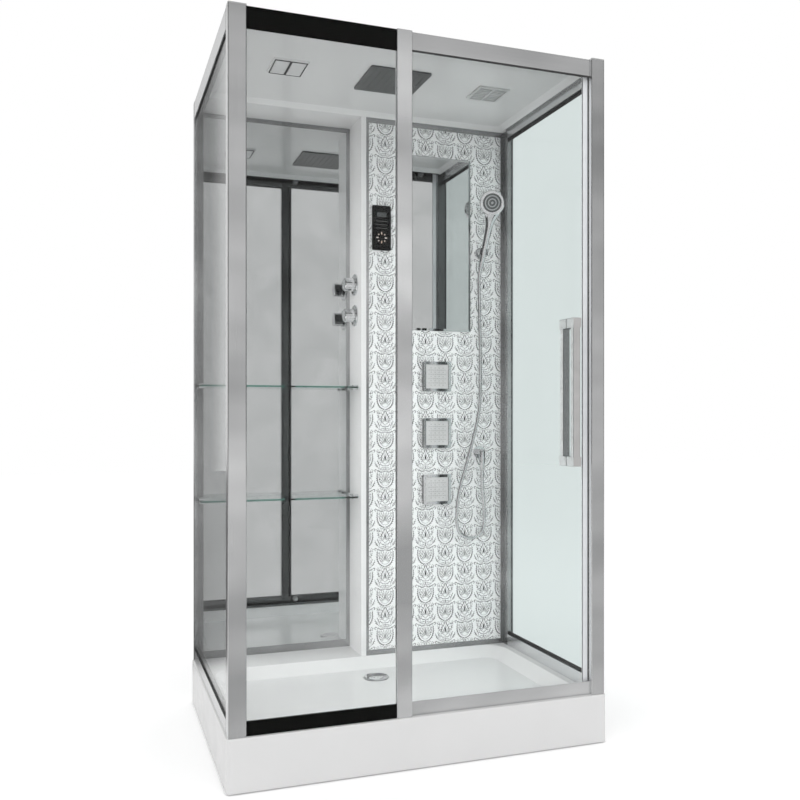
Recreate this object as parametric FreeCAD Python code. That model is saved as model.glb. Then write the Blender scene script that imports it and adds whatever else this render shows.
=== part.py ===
import FreeCAD, Part
import math
import os

# Hydromassage shower cabin, in millimetres.
# The origin is on the floor under the middle of the part: +X right, +Y to the back, +Z up.

Vector = FreeCAD.Vector
X_AXIS = Vector(1, 0, 0)
Y_AXIS = Vector(0, 1, 0)
Z_AXIS = Vector(0, 0, 1)
ORIGIN = Vector(0, 0, 0)

# Overall sizes
WIDTH = 1200.0
DEPTH = 850.0
FRAME_TOP = 2170.0
RIM_HEIGHT = 154.0
FRAME_INSET = 5.0
CUT = 2.0
FIT = 0.3
RUNNING_FIT = 0.05
PARALLEL_SHARE = 1e-6

# Tray
TRAY_WALL = 5.0
TRAY_CORNER = 14.0
TRAY_EDGE = 3.0
SKIRT_GAP = 4.0
BASIN_MARGIN = 55.0
BASIN_BACK_GAP = 3.0
BASIN_DEPTH = 36.0
BASIN_SLOPE = 45.0
BASIN_CORNER = 80.0
FLOOR_CORNER = 45.0
SERVICE_MARGIN = 90.0
SERVICE_HEIGHT = 112.0

# Steel channel frame and feet under the tray
CHANNEL_WIDTH = 30.0
CHANNEL_HEIGHT = 30.0
CHANNEL_WALL = 2.0
FRAME_END = 108.0
FRONT_CHANNEL = 130.0
BACK_CHANNEL = 220.0
INNER_FOOT = 200.0
FOOT_END = 26.0
FOOT_RADIUS = 23.0
FOOT_HEIGHT = 9.0
FOOT_ROD_RADIUS = 6.0
FOOT_NUT_RADIUS = 10.5
FOOT_NUT_HEIGHT = 10.0

# Drain
DRAIN_FROM_BACK = 320.0
DRAIN_BOSS_RADIUS = 52.0
DRAIN_BOSS = 10.0
DRAIN_RECESS_RADIUS = 45.0
DRAIN_RECESS = 5.0
DRAIN_HOLE_RADIUS = 31.0
DRAIN_NECK_RADIUS = 30.0
DRAIN_NECK_WALL = 3.5
DRAIN_NECK = 26.0
DRAIN_FLANGE_RADIUS = 43.0
DRAIN_FLANGE = 2.5
GASKET_THICKNESS = 3.0
TRAP_FLANGE = 6.0
TRAP_RADIUS = 45.0
TRAP_WALL = 3.0
TRAP_BOTTOM = 20.0
OUTLET_RADIUS = 20.0
OUTLET_WALL = 2.0
OUTLET_HEIGHT = 50.0
OUTLET_FROM_BACK = 60.0
OUTLET_SPIGOT = 60.0
OUTLET_SHOULDER = 2.5
COVER_RADIUS = 42.5
COVER_THICKNESS = 2.5
COVER_CROWN = 1.5
COVER_GAP = 4.0
COVER_PLUG = 10.0

# Posts and rails of the aluminium frame
LEFT_POST_WIDTH = 52.0
RIGHT_POST_WIDTH = 46.5
POST_DEPTH = 40.0
MIDDLE_POST_WIDTH = 47.5
MIDDLE_POST_DEPTH = 20.0
BACK_LEFT_POST_DEPTH = 30.0
BACK_RIGHT_POST_DEPTH = 45.0
SIDE_BAR = 26.0
COLUMN_LAP = 6.0
BAR_WALL = 2.0
POST_ROUND = 4.0
CAP_HEIGHT = 3.0
FIXED_OPENING = 438.5
TOP_RAIL_HEIGHT = 58.0
BOTTOM_RAIL_HEIGHT = 42.0
RAIL_SET_BACK = 10.0
RAIL_DEPTH = 35.0
ROOF_LEDGE = 12.0
ROOF_LEDGE_DROP = 28.0
TRACK_DROP = 43.5
TRACK_DEPTH = 10.0
RIB_HEIGHT = 5.5
RIB_WIDTH = 2.0
GUIDE_RIB_HEIGHT = 14.0
REAR_LIP = 10.0

# Fixed panes
GLASS = 5.0
PANE_SET_BACK = 4.3
GROOVE_DEPTH = 12.0
GROOVE_CLEARANCE = 0.3
PANE_END_GAP = 1.0
BAND_TOP = 62.0
BAND_BOTTOM = 40.0
GASKET_WIDTH = 2.5
GASKET_HEIGHT = 8.0
WIPER_HEIGHT = 5.0

# Door
DOOR_GLASS = 6.0
DOOR_OVERLAP = 41.0
DOOR_EDGE_GAP = 15.0
DOOR_BOTTOM_GAP = 8.0
DOOR_TOP_GAP = 10.0
SEAL_WALL = 2.0
SEAL_GRIP = 4.0
SEAL_STRIP = 2.5
LIP_WIDTH = 5.0
LIP_GAP = 0.5
LIP_FROM_EDGE = 8.0

# Rollers
WHEEL_RADIUS = 12.0
WHEEL_GROOVE_RADIUS = 9.5
WHEEL_WIDTH = 6.0
WHEEL_GROOVE_WIDTH = 3.0
AXLE_RADIUS = 4.0
AXLE_HEAD_RADIUS = 6.5
AXLE_HEAD = 1.6
AXLE_HEAD_GAP = 0.6
COLLAR = 3.5
AXLE_NUT = 8.0
AXLE_NUT_RADIUS = 8.0
ROLLER_FROM_EDGE = 60.0

# Door handles
HANDLE_FROM_EDGE = 48.5
HANDLE_LOW = 880.0
HANDLE_HIGH = 1346.0
HANDLE_REACH = 42.0
HANDLE_BLOCK_WIDTH = 28.0
HANDLE_BLOCK_HEIGHT = 31.0
HANDLE_BAR_WIDTH = 24.0
HANDLE_BAR_DEPTH = 20.0
HANDLE_BAR_SET = 2.0
HANDLE_ROUND = 2.0
STUD_RADIUS = 4.0
STUD_GRIP = 18.0

# Roof and what hangs in it
ROOF_SHEET = 4.0
ROOF_GAP = 0.5
ROOF_CORNER_LAP = 9.0
CEILING_RISE = 15.0
CEILING_LIP = 33.0
CEILING_CORNER = 12.0
FITTING_FROM_FRONT = 358.0
FITTING_FROM_SIDE = 243.0
FITTING_WIDTH = 114.0
FITTING_DEPTH = 120.0
FITTING_BEZEL = 5.0
FITTING_FRAME = 8.0
FITTING_ROUND = 6.0
FITTING_BOX_INSET = 6.0
LAMP_BOX_HEIGHT = 26.0
DIFFUSER_DROP = 1.5
SLAT_COUNT = 7
SLAT_SHARE = 0.5
FAN_BOX_HEIGHT = 38.0
FAN_WALL = 3.0
FAN_SPIDER = 4.0
FAN_SPIDER_WIDTH = 10.0
FAN_SHAFT_RADIUS = 3.0
FAN_HUB_RADIUS = 15.0
FAN_HUB_HEIGHT = 20.0
FAN_TIP_GAP = 4.0
FAN_BLADES = 7
FAN_BLADE_THICKNESS = 1.6
FAN_BLADE_TILT = 40.0
FAN_BLADE_SHARE = 0.72
HEAD_SIDE = 207.0
HEAD_THICKNESS = 5.5
HEAD_ROUND = 8.0
HEAD_STEM_RADIUS = 10.0
HEAD_STEM = 28.0
HEAD_NUT_RADIUS = 18.0
HEAD_NUT = 7.0
HEAD_NOZZLES = 9
HEAD_NOZZLE_MARGIN = 18.0
NOZZLE_RADIUS = 2.2
NOZZLE_HEIGHT = 1.5
NOZZLE_SIDES = 6

# Column and its glass panel
COLUMN_WIDTH = 603.0
COLUMN_DEPTH = 162.0
COLUMN_WALL = 4.0
COLUMN_STRIP = 19.0
COLUMN_FLANGE = 40.0
PANEL_FRAME_WIDTH = 19.0
PANEL_FRAME_SIDE = 10.0
PANEL_FRAME_DEPTH = 14.0
PANEL_SET_BACK = 2.0
PANEL_GRIP = 6.0
PANEL_MIRROR_MARGIN = 139.0
PANEL_MIRROR_FROM_TOP = 122.0
PANEL_MIRROR_HEIGHT = 659.0
PANEL_MIRROR_BEVEL = 9.0
PANEL_MIRROR_BEVEL_DEPTH = 2.0
CONTROL_LEFT = 22.5
CONTROL_WIDTH = 72.0
CONTROL_FROM_TOP = 323.5
CONTROL_HEIGHT = 165.5
CONTROL_THICKNESS = 7.0
CONTROL_ROUND = 5.0
CONTROL_WINDOW_INSET = 12.0
CONTROL_BOX_DEPTH = 36.0
GLAND_RADIUS = 11.0
GLAND_BORE_RADIUS = 4.0
GLAND_LENGTH = 24.0
GLAND_BURIED = 12.0

# Body jets
JETS_BELOW_DIVERTER = (228.0, 442.0, 655.0)
JET_SIDE = 113.0
JET_BEZEL = 11.0
JET_BEZEL_WIDTH = 11.0
JET_ROUND = 4.0
JET_FACE_SET = 3.0
JET_NOZZLES = 5
JET_NOZZLE_MARGIN = 13.0
JET_BODY_RADIUS = 28.0
JET_BODY = 44.0
JET_NUT_RADIUS = 38.0
JET_NUT = 10.0

# Handset, holder, outlet and hose
HANDSET_FROM_RIGHT = 103.0
GRIP_FROM_PANEL = 30.0
GRIP_FROM_TOP = 510.0
GRIP_LEAN_SHARES = (0.11, -0.257, 1.0)
GRIP_LENGTH = 110.0
GRIP_BOTTOM_RADIUS = 10.5
GRIP_TOP_RADIUS = 12.2
NECK_STATIONS = ((106.0, 12.7, 12.7), (134.0, 14.5, 12.0), (160.0, 20.5, 10.5), (185.0, 32.0, 7.5))
NECK_POINTS = 12
SHOWER_HEAD_RIGHT = 13.5
SHOWER_HEAD_FORWARD = 63.5
SHOWER_HEAD_UP = 209.9
SHOWER_HEAD_FACING_SHARES = (-0.3, -0.9, -0.25)
SHOWER_HEAD_RADIUS = 47.0
SHOWER_HEAD_EDGE = 3.5
SHOWER_HEAD_RIM = 9.0
SHOWER_HEAD_BACK = 12.0
SHOWER_HEAD_CROWN_RADIUS = 22.0
SPRAY_RADIUS = 35.0
SPRAY_RECESS = 2.0
SPRAY_PROUD = 0.8
SPRAY_RINGS = 4
SPRAY_STEP = 8.0
SPRAY_RING_COUNT = 6
HOLDER_LOW = 24.0
HOLDER_HIGH = 48.0
HOLDER_WALL = 5.0
HOLDER_ARM_RADIUS = 9.0
HOLDER_BASE_RADIUS = 21.0
HOLDER_BASE = 9.0
HOLDER_SLOT = 15.0
ELBOW_BELOW_DIVERTER = 516.0
ELBOW_REACH = 31.0
ELBOW_RADIUS = 12.0
ELBOW_DROP = 42.0
ELBOW_ROSE_RADIUS = 24.0
ELBOW_ROSE = 6.0
ELBOW_STEM_RADIUS = 9.0
HOSE_NUT_RADIUS = 10.0
HOSE_NUT_TIP_RADIUS = 8.0
HOSE_NUT = 25.0
OUTLET_NUT = 20.0
HOSE_RADIUS = 6.5
HOSE_BEND_SHARE = 0.45
HOSE_ROUTE = (
    (463.330, 242.737, 1607.730),
    (459.644, 251.351, 1574.215),
    (466.0, 244.5, 1110.0),
    (446.0, 242.5, 1000.0),
    (412.0, 242.5, 880.0),
    (377.0, 242.5, 770.0),
    (363.0, 242.5, 690.0),
    (364.5, 242.5, 606.4),
    (397.9, 242.5, 573.0),
    (445.1, 242.5, 573.0),
    (478.5, 242.5, 606.4),
    (478.0, 241.5, 690.0),
    (466.0, 235.5, 775.0),
    (466.0, 235.5, 838.0),
)

# Valves behind the column's return
VALVE_FROM_FRONT = 79.0
MIXER_FROM_TOP = 610.0
DIVERTER_BELOW_MIXER = 116.0
VALVE_RADIUS = 23.0
VALVE_LENGTH = 96.0
VALVE_BRIDGE_RADIUS = 11.0
INLET_RADIUS = 10.5
INLET_REACH = 48.0
INLET_SHOULDER = 2.5
INLET_SHOULDER_REACH = 3.0
INLET_BORE_RADIUS = 7.5
INLET_FROM_WALL = (42.0, 80.0)
SPINDLE_RADIUS = 5.0
SPINDLE_HOLE_RADIUS = 13.0
ROSE_RADIUS = 40.0
ROSE_THICKNESS = 6.0
ROSE_STEP = 2.0
KNOB_RADIUS = 25.0
KNOB_LENGTH = 38.0
KNOB_CROWN = 3.0
KNOB_SOCKET = 26.0
KNOB_FLUTES = 10
KNOB_FLUTE_RADIUS = 4.0
KNOB_FLUTE_DEPTH = 1.5

# Supply pipes inside the column
PIPE_RADIUS = 7.0
JET_PIPE_RADIUS = 8.0
PIPE_BEND = 30.0
OUTLET_PIPE_BEND = 15.0
OUTLET_PORT_SHARE = 0.75
PIPE_FORWARD = 24.0
PIPE_END_OFFSET = 12.0
RISER_FROM_VALVE = 50.0
ROOF_PIPE_LIFT = 16.0
CROSS_PIPE_DROP = 116.0
PIPE_HOLE_RADIUS = 12.0

# Niche
NICHE_FRAME_DEPTH = 10.0
NICHE_FRAME_SIDE = 12.0
NICHE_FRAME_TOP = 15.0
NICHE_FRAME_BOTTOM = 26.0
NICHE_MIRROR_SET = 3.0
NICHE_MIRROR_GRIP = 6.0
SHELVES_FROM_TOP = (1000.0, 1407.0)
SHELF_THICKNESS = 6.0
SHELF_FRONT_SET = 17.0
SHELF_END_GAP = 2.0
SHELF_ROUND = 15.0
CLIP_LENGTH = 20.0
CLIP_WIDTH = 18.0
CLIP_HEIGHT = 18.0
CLIP_ROUND = 4.0
CLIP_FROM_FRONT = (32.0, 92.0)

# Lines that the pieces share
LEFT = -WIDTH / 2
RIGHT = WIDTH / 2
WHEEL_SET_BACK = FRAME_INSET + RAIL_SET_BACK + BAR_WALL + AXLE_HEAD_GAP + AXLE_HEAD + FIT
DOOR_SET_BACK = WHEEL_SET_BACK + WHEEL_WIDTH + COLLAR
HANDLE_PROUD = HANDLE_REACH - DOOR_SET_BACK
FRONT = (HANDLE_PROUD - DEPTH) / 2
BACK = FRONT + DEPTH
FRAME_LEFT = LEFT + FRAME_INSET
FRAME_RIGHT = RIGHT - FRAME_INSET
FRAME_FRONT = FRONT + FRAME_INSET
FRAME_BACK = BACK - FRAME_INSET
FLOOR_TOP = RIM_HEIGHT - BASIN_DEPTH
FLOOR_UNDER = FLOOR_TOP - TRAY_WALL
LEFT_POST_FACE = FRAME_LEFT + LEFT_POST_WIDTH
RIGHT_POST_FACE = FRAME_RIGHT - RIGHT_POST_WIDTH
POST_BACK = FRAME_FRONT + POST_DEPTH
MIDDLE_POST_LEFT = LEFT_POST_FACE + FIXED_OPENING
MIDDLE_POST_RIGHT = MIDDLE_POST_LEFT + MIDDLE_POST_WIDTH
TOP_RAIL_LOW = FRAME_TOP - TOP_RAIL_HEIGHT
BOTTOM_RAIL_HIGH = RIM_HEIGHT + BOTTOM_RAIL_HEIGHT
ROOF_SEAT = FRAME_TOP - ROOF_LEDGE_DROP
LEFT_BAR_FACE = FRAME_LEFT + SIDE_BAR
RIGHT_BAR_FACE = FRAME_RIGHT - SIDE_BAR
COLUMN_LEFT = FRAME_RIGHT - COLUMN_WIDTH
COLUMN_FRONT = FRAME_BACK - COLUMN_DEPTH
BACK_LEFT_POST_FRONT = FRAME_BACK - BACK_LEFT_POST_DEPTH
BACK_RIGHT_POST_BACK = COLUMN_FRONT + COLUMN_LAP
BACK_RIGHT_POST_FRONT = BACK_RIGHT_POST_BACK - BACK_RIGHT_POST_DEPTH
RAIL_FRONT = FRAME_FRONT + RAIL_SET_BACK
RAIL_BACK = RAIL_FRONT + RAIL_DEPTH
PANE_FRONT = FRAME_FRONT + PANE_SET_BACK
PANE_BACK = PANE_FRONT + GLASS
LEFT_PANE = (FRAME_LEFT + PANE_SET_BACK, FRAME_LEFT + PANE_SET_BACK + GLASS)
RIGHT_PANE = (FRAME_RIGHT - PANE_SET_BACK - GLASS, FRAME_RIGHT - PANE_SET_BACK)

# Lines of the door and its rollers
WHEEL_FRONT = FRONT + WHEEL_SET_BACK
WHEEL_BACK = WHEEL_FRONT + WHEEL_WIDTH
WHEEL_MIDDLE = (WHEEL_FRONT + WHEEL_BACK) / 2
DOOR_FRONT = WHEEL_BACK + COLLAR
DOOR_BACK = DOOR_FRONT + DOOR_GLASS
DOOR_LEFT = MIDDLE_POST_RIGHT - DOOR_OVERLAP
DOOR_RIGHT = RIGHT_POST_FACE - DOOR_EDGE_GAP
DOOR_LOW = RIM_HEIGHT + DOOR_BOTTOM_GAP
DOOR_HIGH = FRAME_TOP - DOOR_TOP_GAP
TRACK_TOP = FRAME_TOP - TRACK_DROP
RIB_TOP = TRACK_TOP + RIB_HEIGHT
GUIDE_TOP = RIM_HEIGHT + GUIDE_RIB_HEIGHT
ROLLER_RISE = WHEEL_GROOVE_RADIUS + FIT
ROLLER_HEIGHTS = {"top": RIB_TOP + ROLLER_RISE, "bottom": GUIDE_TOP + ROLLER_RISE}
ROLLER_PLACES = {"left": DOOR_LEFT + ROLLER_FROM_EDGE, "right": DOOR_RIGHT - ROLLER_FROM_EDGE}
HANDLE_X = DOOR_RIGHT - HANDLE_FROM_EDGE
HANDLE_STUD_HEIGHTS = (HANDLE_LOW + HANDLE_BLOCK_HEIGHT / 2, HANDLE_HIGH - HANDLE_BLOCK_HEIGHT / 2)

# Lines of the roof, the column and the niche
CEILING = ROOF_SEAT + CEILING_RISE
CEILING_TOP = CEILING + ROOF_SHEET
FITTING_Y = FRONT + FITTING_FROM_FRONT
SIDE_FITTING_X = FRAME_RIGHT - FITTING_FROM_SIDE
PANEL_LEFT = COLUMN_LEFT + COLUMN_STRIP
PANEL_RIGHT = RIGHT_BAR_FACE
PANEL_FACE = COLUMN_FRONT + PANEL_SET_BACK
PANEL_BACK = PANEL_FACE + GLASS
MIXER_HEIGHT = ROOF_SEAT - MIXER_FROM_TOP
DIVERTER_HEIGHT = MIXER_HEIGHT - DIVERTER_BELOW_MIXER
VALVE_X = COLUMN_LEFT + COLUMN_WALL
VALVE_Y = COLUMN_FRONT + VALVE_FROM_FRONT
VALVE_END = VALVE_X + VALVE_LENGTH
JET_X = (PANEL_LEFT + PANEL_RIGHT) / 2
JET_HEIGHTS = [DIVERTER_HEIGHT - drop for drop in JETS_BELOW_DIVERTER]
JET_BODY_BACK = PANEL_BACK + JET_BODY
NICHE_FACE = FRAME_BACK - NICHE_FRAME_DEPTH
SHELF_HEIGHTS = [ROOF_SEAT - drop for drop in SHELVES_FROM_TOP]
ELBOW_X = PANEL_RIGHT - HANDSET_FROM_RIGHT
ELBOW_Y = PANEL_FACE - ELBOW_REACH
ELBOW_HEIGHT = DIVERTER_HEIGHT - ELBOW_BELOW_DIVERTER
CONTROL_X = (PANEL_LEFT + CONTROL_LEFT, PANEL_LEFT + CONTROL_LEFT + CONTROL_WIDTH)
CONTROL_HIGH = ROOF_SEAT - CONTROL_FROM_TOP
CONTROL_LOW = CONTROL_HIGH - CONTROL_HEIGHT
CONTROL_MIDDLE = ((CONTROL_X[0] + CONTROL_X[1]) / 2, (CONTROL_LOW + CONTROL_HIGH) / 2)

# Lines of the handset
GRIP_LEAN = Vector(*GRIP_LEAN_SHARES).normalize()
GRIP_END = Vector(ELBOW_X, PANEL_FACE - GRIP_FROM_PANEL, ROOF_SEAT - GRIP_FROM_TOP)
SHOWER_HEAD_OFFSET = Vector(SHOWER_HEAD_RIGHT, -SHOWER_HEAD_FORWARD, SHOWER_HEAD_UP)
SHOWER_HEAD_CENTRE = GRIP_END + SHOWER_HEAD_OFFSET
SHOWER_HEAD_FACING = Vector(*SHOWER_HEAD_FACING_SHARES).normalize()


# Basic forms

def grow(limits, by):
    """Widen a pair of limits at both ends."""
    return (limits[0] - by, limits[1] + by)


def around(middle, size):
    """Pair of limits of a size about its middle."""
    return (middle - size / 2, middle + size / 2)


def block(x, y, z):
    """Box between pairs of limits along each axis."""
    return Part.makeBox(x[1] - x[0], y[1] - y[0], z[1] - z[0], Vector(x[0], y[0], z[0]))


def rod(start, direction, radius, length):
    """Cylinder from a point along a direction."""
    return Part.makeCylinder(radius, length, start, direction)


def tube(start, direction, radius, bore, length):
    """Cylinder with a bore right through it."""
    hole_start = start - direction * CUT
    return rod(start, direction, radius, length).cut(rod(hole_start, direction, bore, length + 2 * CUT))


def fuse(shapes):
    """One solid from shapes that overlap or touch."""
    return shapes[0].multiFuse(shapes[1:]).removeSplitter()


def soften(shape, radius, direction):
    """Round the straight edges of a shape that run along a direction."""
    edges = []
    for edge in shape.Edges:
        straight = isinstance(edge.Curve, Part.Line)
        if straight and edge.Curve.Direction.cross(direction).Length < PARALLEL_SHARE:
            edges.append(edge)
    return shape.makeFillet(radius, edges)


def prism(points, length):
    """Closed outline drawn out along a vector."""
    outline = Part.makePolygon(list(points) + [points[0]])
    return Part.Face(outline).extrude(length)


def turned(profile, start, direction):
    """Solid of revolution from (radius, height) points about an axis."""
    points = [Vector(radius, 0, height) for radius, height in profile]
    solid = Part.Face(Part.makePolygon(points + [points[0]])).revolve(ORIGIN, Z_AXIS, 360)
    solid.Placement = FreeCAD.Placement(start, FreeCAD.Rotation(Z_AXIS, direction))
    return solid


def rounded_outline(x, y, z, radius):
    """Wire of a rectangle with round corners at one height."""
    corners = [(x[1], y[1], 0), (x[0], y[1], 90), (x[0], y[0], 180), (x[1], y[0], 270)]
    edges = []
    last = None
    first = None
    for corner_x, corner_y, angle in corners:
        centre_x = corner_x - math.copysign(radius, corner_x - (x[0] + x[1]) / 2)
        centre_y = corner_y - math.copysign(radius, corner_y - (y[0] + y[1]) / 2)
        centre = Vector(centre_x, centre_y, z)
        arc = Part.makeCircle(radius, centre, Z_AXIS, angle, angle + 90)
        start = arc.valueAt(arc.FirstParameter)
        if last is None:
            first = start
        else:
            edges.append(Part.LineSegment(last, start).toShape())
        edges.append(arc)
        last = arc.valueAt(arc.LastParameter)
    edges.append(Part.LineSegment(last, first).toShape())
    return Part.Wire(edges)


def dish(x, y, z, slope, corners):
    """Loft between two round-cornered rectangles; the upper one is drawn in by a slope."""
    low = rounded_outline(x, y, z[0], corners[0])
    high = rounded_outline(grow(x, -slope), grow(y, -slope), z[1], corners[1])
    return Part.makeLoft([low, high], True, True)


def hollow_bar(x, y, z, along, grooves=(), round_radius=0):
    """Thin-walled bar along one axis, with open glazing grooves walled off from its cavity."""
    limits = [x, y, z]
    axes = [X_AXIS, Y_AXIS, Z_AXIS]
    inside = [grow(limit, -BAR_WALL) for limit in limits]
    inside[along] = grow(limits[along], CUT)
    cavity = block(*inside)
    bar = block(*limits)
    if round_radius:
        bar = soften(bar, round_radius, axes[along])
    for groove in grooves:
        cavity = cavity.cut(block(*[grow(limit, BAR_WALL) for limit in groove]))
    bar = bar.cut(cavity)
    for groove in grooves:
        bar = bar.cut(block(*groove))
    return bar


def bent_path(points, radii):
    """Wire of straight runs joined by tangent arcs, one radius for each inner point."""
    edges = []
    last = points[0]
    for before, corner, after, radius in zip(points, points[1:], points[2:], radii):
        into = (corner - before).normalize()
        out = (after - corner).normalize()
        half_turn = into.getAngle(out) / 2
        reach = radius * math.tan(half_turn)
        inward = (out - into).normalize()
        arc_start = corner - into * reach
        arc_middle = corner + inward * (radius / math.cos(half_turn) - radius)
        arc_end = corner + out * reach
        edges.append(Part.LineSegment(last, arc_start).toShape())
        edges.append(Part.Arc(arc_start, arc_middle, arc_end).toShape())
        last = arc_end
    edges.append(Part.LineSegment(last, points[-1]).toShape())
    return Part.Wire(edges)


def swept(path, radius, first_run):
    """Round section drawn along a path."""
    start = path.Vertexes[0].Point
    section = Part.Wire(Part.makeCircle(radius, start, first_run))
    return path.makePipeShell([section], True, False)


def pipe(points, radius, bend):
    """Pipe with one bend radius."""
    path = bent_path(points, [bend] * (len(points) - 2))
    return swept(path, radius, points[1] - points[0])


def nozzle_grid(count, side, margin, place):
    """Square grid of short nozzles; place turns two grid positions into a centre and an axis."""
    step = (side - 2 * margin) / (count - 1)
    nozzles = []
    for column in range(count):
        for row in range(count):
            centre, axis = place(column * step - (side / 2 - margin), row * step - (side / 2 - margin))
            nozzles.append(nozzle(centre, axis))
    return nozzles


def nozzle(centre, axis):
    """Short many-sided nozzle that stands on a face."""
    points = []
    for side in range(NOZZLE_SIDES):
        angle = 2 * math.pi * side / NOZZLE_SIDES
        points.append(Vector(NOZZLE_RADIUS * math.cos(angle), NOZZLE_RADIUS * math.sin(angle), 0))
    solid = prism(points, Z_AXIS * NOZZLE_HEIGHT)
    solid.Placement = FreeCAD.Placement(centre, FreeCAD.Rotation(Z_AXIS, axis))
    return solid


def save(name, shapes):
    """Write one sub-part, as one solid or as a group of separate solids."""
    if isinstance(shapes, list):
        shapes = Part.makeCompound(shapes)
    shapes.exportStep("parts/" + name + ".step")


# Tray

def tray():
    """Moulded shell with a sloping basin, a back ledge and an open back for service."""
    outer = soften(block((LEFT, RIGHT), (FRONT, BACK), (SKIRT_GAP, RIM_HEIGHT)), TRAY_CORNER, Z_AXIS)
    rim = [edge for edge in outer.Edges if min(v.Point.z for v in edge.Vertexes) > RIM_HEIGHT - TRAY_EDGE]
    outer = outer.makeFillet(TRAY_EDGE, rim)
    hollow_x = (LEFT + TRAY_WALL, RIGHT - TRAY_WALL)
    hollow_y = (FRONT + TRAY_WALL, BACK - TRAY_WALL)
    hollow = block(hollow_x, hollow_y, (SKIRT_GAP - CUT, RIM_HEIGHT - TRAY_WALL))
    hollow = soften(hollow, TRAY_CORNER - TRAY_WALL, Z_AXIS)
    basin_x = (LEFT + BASIN_MARGIN, RIGHT - BASIN_MARGIN)
    basin_y = (FRONT + BASIN_MARGIN, COLUMN_FRONT - BASIN_BACK_GAP)
    inner = basin(basin_x, basin_y, 0)
    lining = basin(grow(basin_x, TRAY_WALL), grow(basin_y, TRAY_WALL), TRAY_WALL)
    drain = Vector(0, BACK - DRAIN_FROM_BACK, 0)
    boss_low = FLOOR_UNDER - DRAIN_BOSS
    boss = rod(drain + Z_AXIS * boss_low, Z_AXIS, DRAIN_BOSS_RADIUS, DRAIN_BOSS + TRAY_WALL / 2)
    recess = rod(drain + Z_AXIS * (FLOOR_TOP - DRAIN_RECESS), Z_AXIS, DRAIN_RECESS_RADIUS, DRAIN_RECESS + CUT)
    hole = rod(drain + Z_AXIS * (boss_low - CUT), Z_AXIS, DRAIN_HOLE_RADIUS, DRAIN_BOSS + TRAY_WALL + 2 * CUT)
    service_x = (LEFT + SERVICE_MARGIN, RIGHT - SERVICE_MARGIN)
    service = block(service_x, (BACK - TRAY_WALL - CUT, BACK + CUT), (SKIRT_GAP - CUT, SERVICE_HEIGHT))
    shell = fuse([outer.cut(hollow), lining, boss])
    return shell.cut(inner).cut(recess).cut(hole).cut(service)


def basin(x, y, lower):
    """Basin that narrows from the rim to the floor, taken deeper by a wall."""
    high = rounded_outline(x, y, RIM_HEIGHT, BASIN_CORNER)
    floor_x = grow(x, -BASIN_SLOPE)
    floor_y = grow(y, -BASIN_SLOPE)
    low = rounded_outline(floor_x, floor_y, FLOOR_TOP - lower, FLOOR_CORNER)
    return Part.makeLoft([low, high], True, True)


def channel(x, y, z):
    """Pressed steel channel, open below, along its longer side."""
    outer = block(x, y, z)
    inside_x = grow(x, -CHANNEL_WALL) if x[1] - x[0] < y[1] - y[0] else grow(x, CUT)
    inside_y = grow(y, CUT) if x[1] - x[0] < y[1] - y[0] else grow(y, -CHANNEL_WALL)
    return outer.cut(block(inside_x, inside_y, (z[0] - CUT, z[1] - CHANNEL_WALL)))


def channel_rows():
    """Middle lines of the front and back channels."""
    half = CHANNEL_WIDTH / 2
    return (FRONT + FRONT_CHANNEL + half, BACK - BACK_CHANNEL - half)


def tray_frame():
    """Ladder of channels under the tray floor."""
    z = (FLOOR_UNDER - CHANNEL_HEIGHT, FLOOR_UNDER)
    long_x = (LEFT + FRAME_END, RIGHT - FRAME_END)
    front_y, back_y = channel_rows()
    members = [channel(long_x, around(y, CHANNEL_WIDTH), z) for y in (front_y, back_y)]
    half = CHANNEL_WIDTH / 2
    cross_y = (front_y + half, back_y - half)
    for x in (long_x[0] + half, -INNER_FOOT, INNER_FOOT, long_x[1] - half):
        members.append(channel(around(x, CHANNEL_WIDTH), cross_y, z))
    return fuse(members)


def levelling_feet():
    """Pad, rod and nut under each end and quarter of the two long channels."""
    feet = []
    web = FLOOR_UNDER - CHANNEL_WALL
    end = RIGHT - FRAME_END - FOOT_END
    for y in channel_rows():
        for x in (-end, -INNER_FOOT, INNER_FOOT, end):
            profile = [
                (0, 0),
                (FOOT_RADIUS, 0),
                (FOOT_RADIUS, FOOT_HEIGHT / 2),
                (FOOT_NUT_RADIUS, FOOT_HEIGHT),
                (FOOT_ROD_RADIUS, FOOT_HEIGHT),
                (FOOT_ROD_RADIUS, web - FOOT_NUT_HEIGHT),
                (FOOT_NUT_RADIUS, web - FOOT_NUT_HEIGHT),
                (FOOT_NUT_RADIUS, web),
                (0, web),
            ]
            feet.append(turned(profile, Vector(x, y, 0), Z_AXIS))
    return feet


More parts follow.
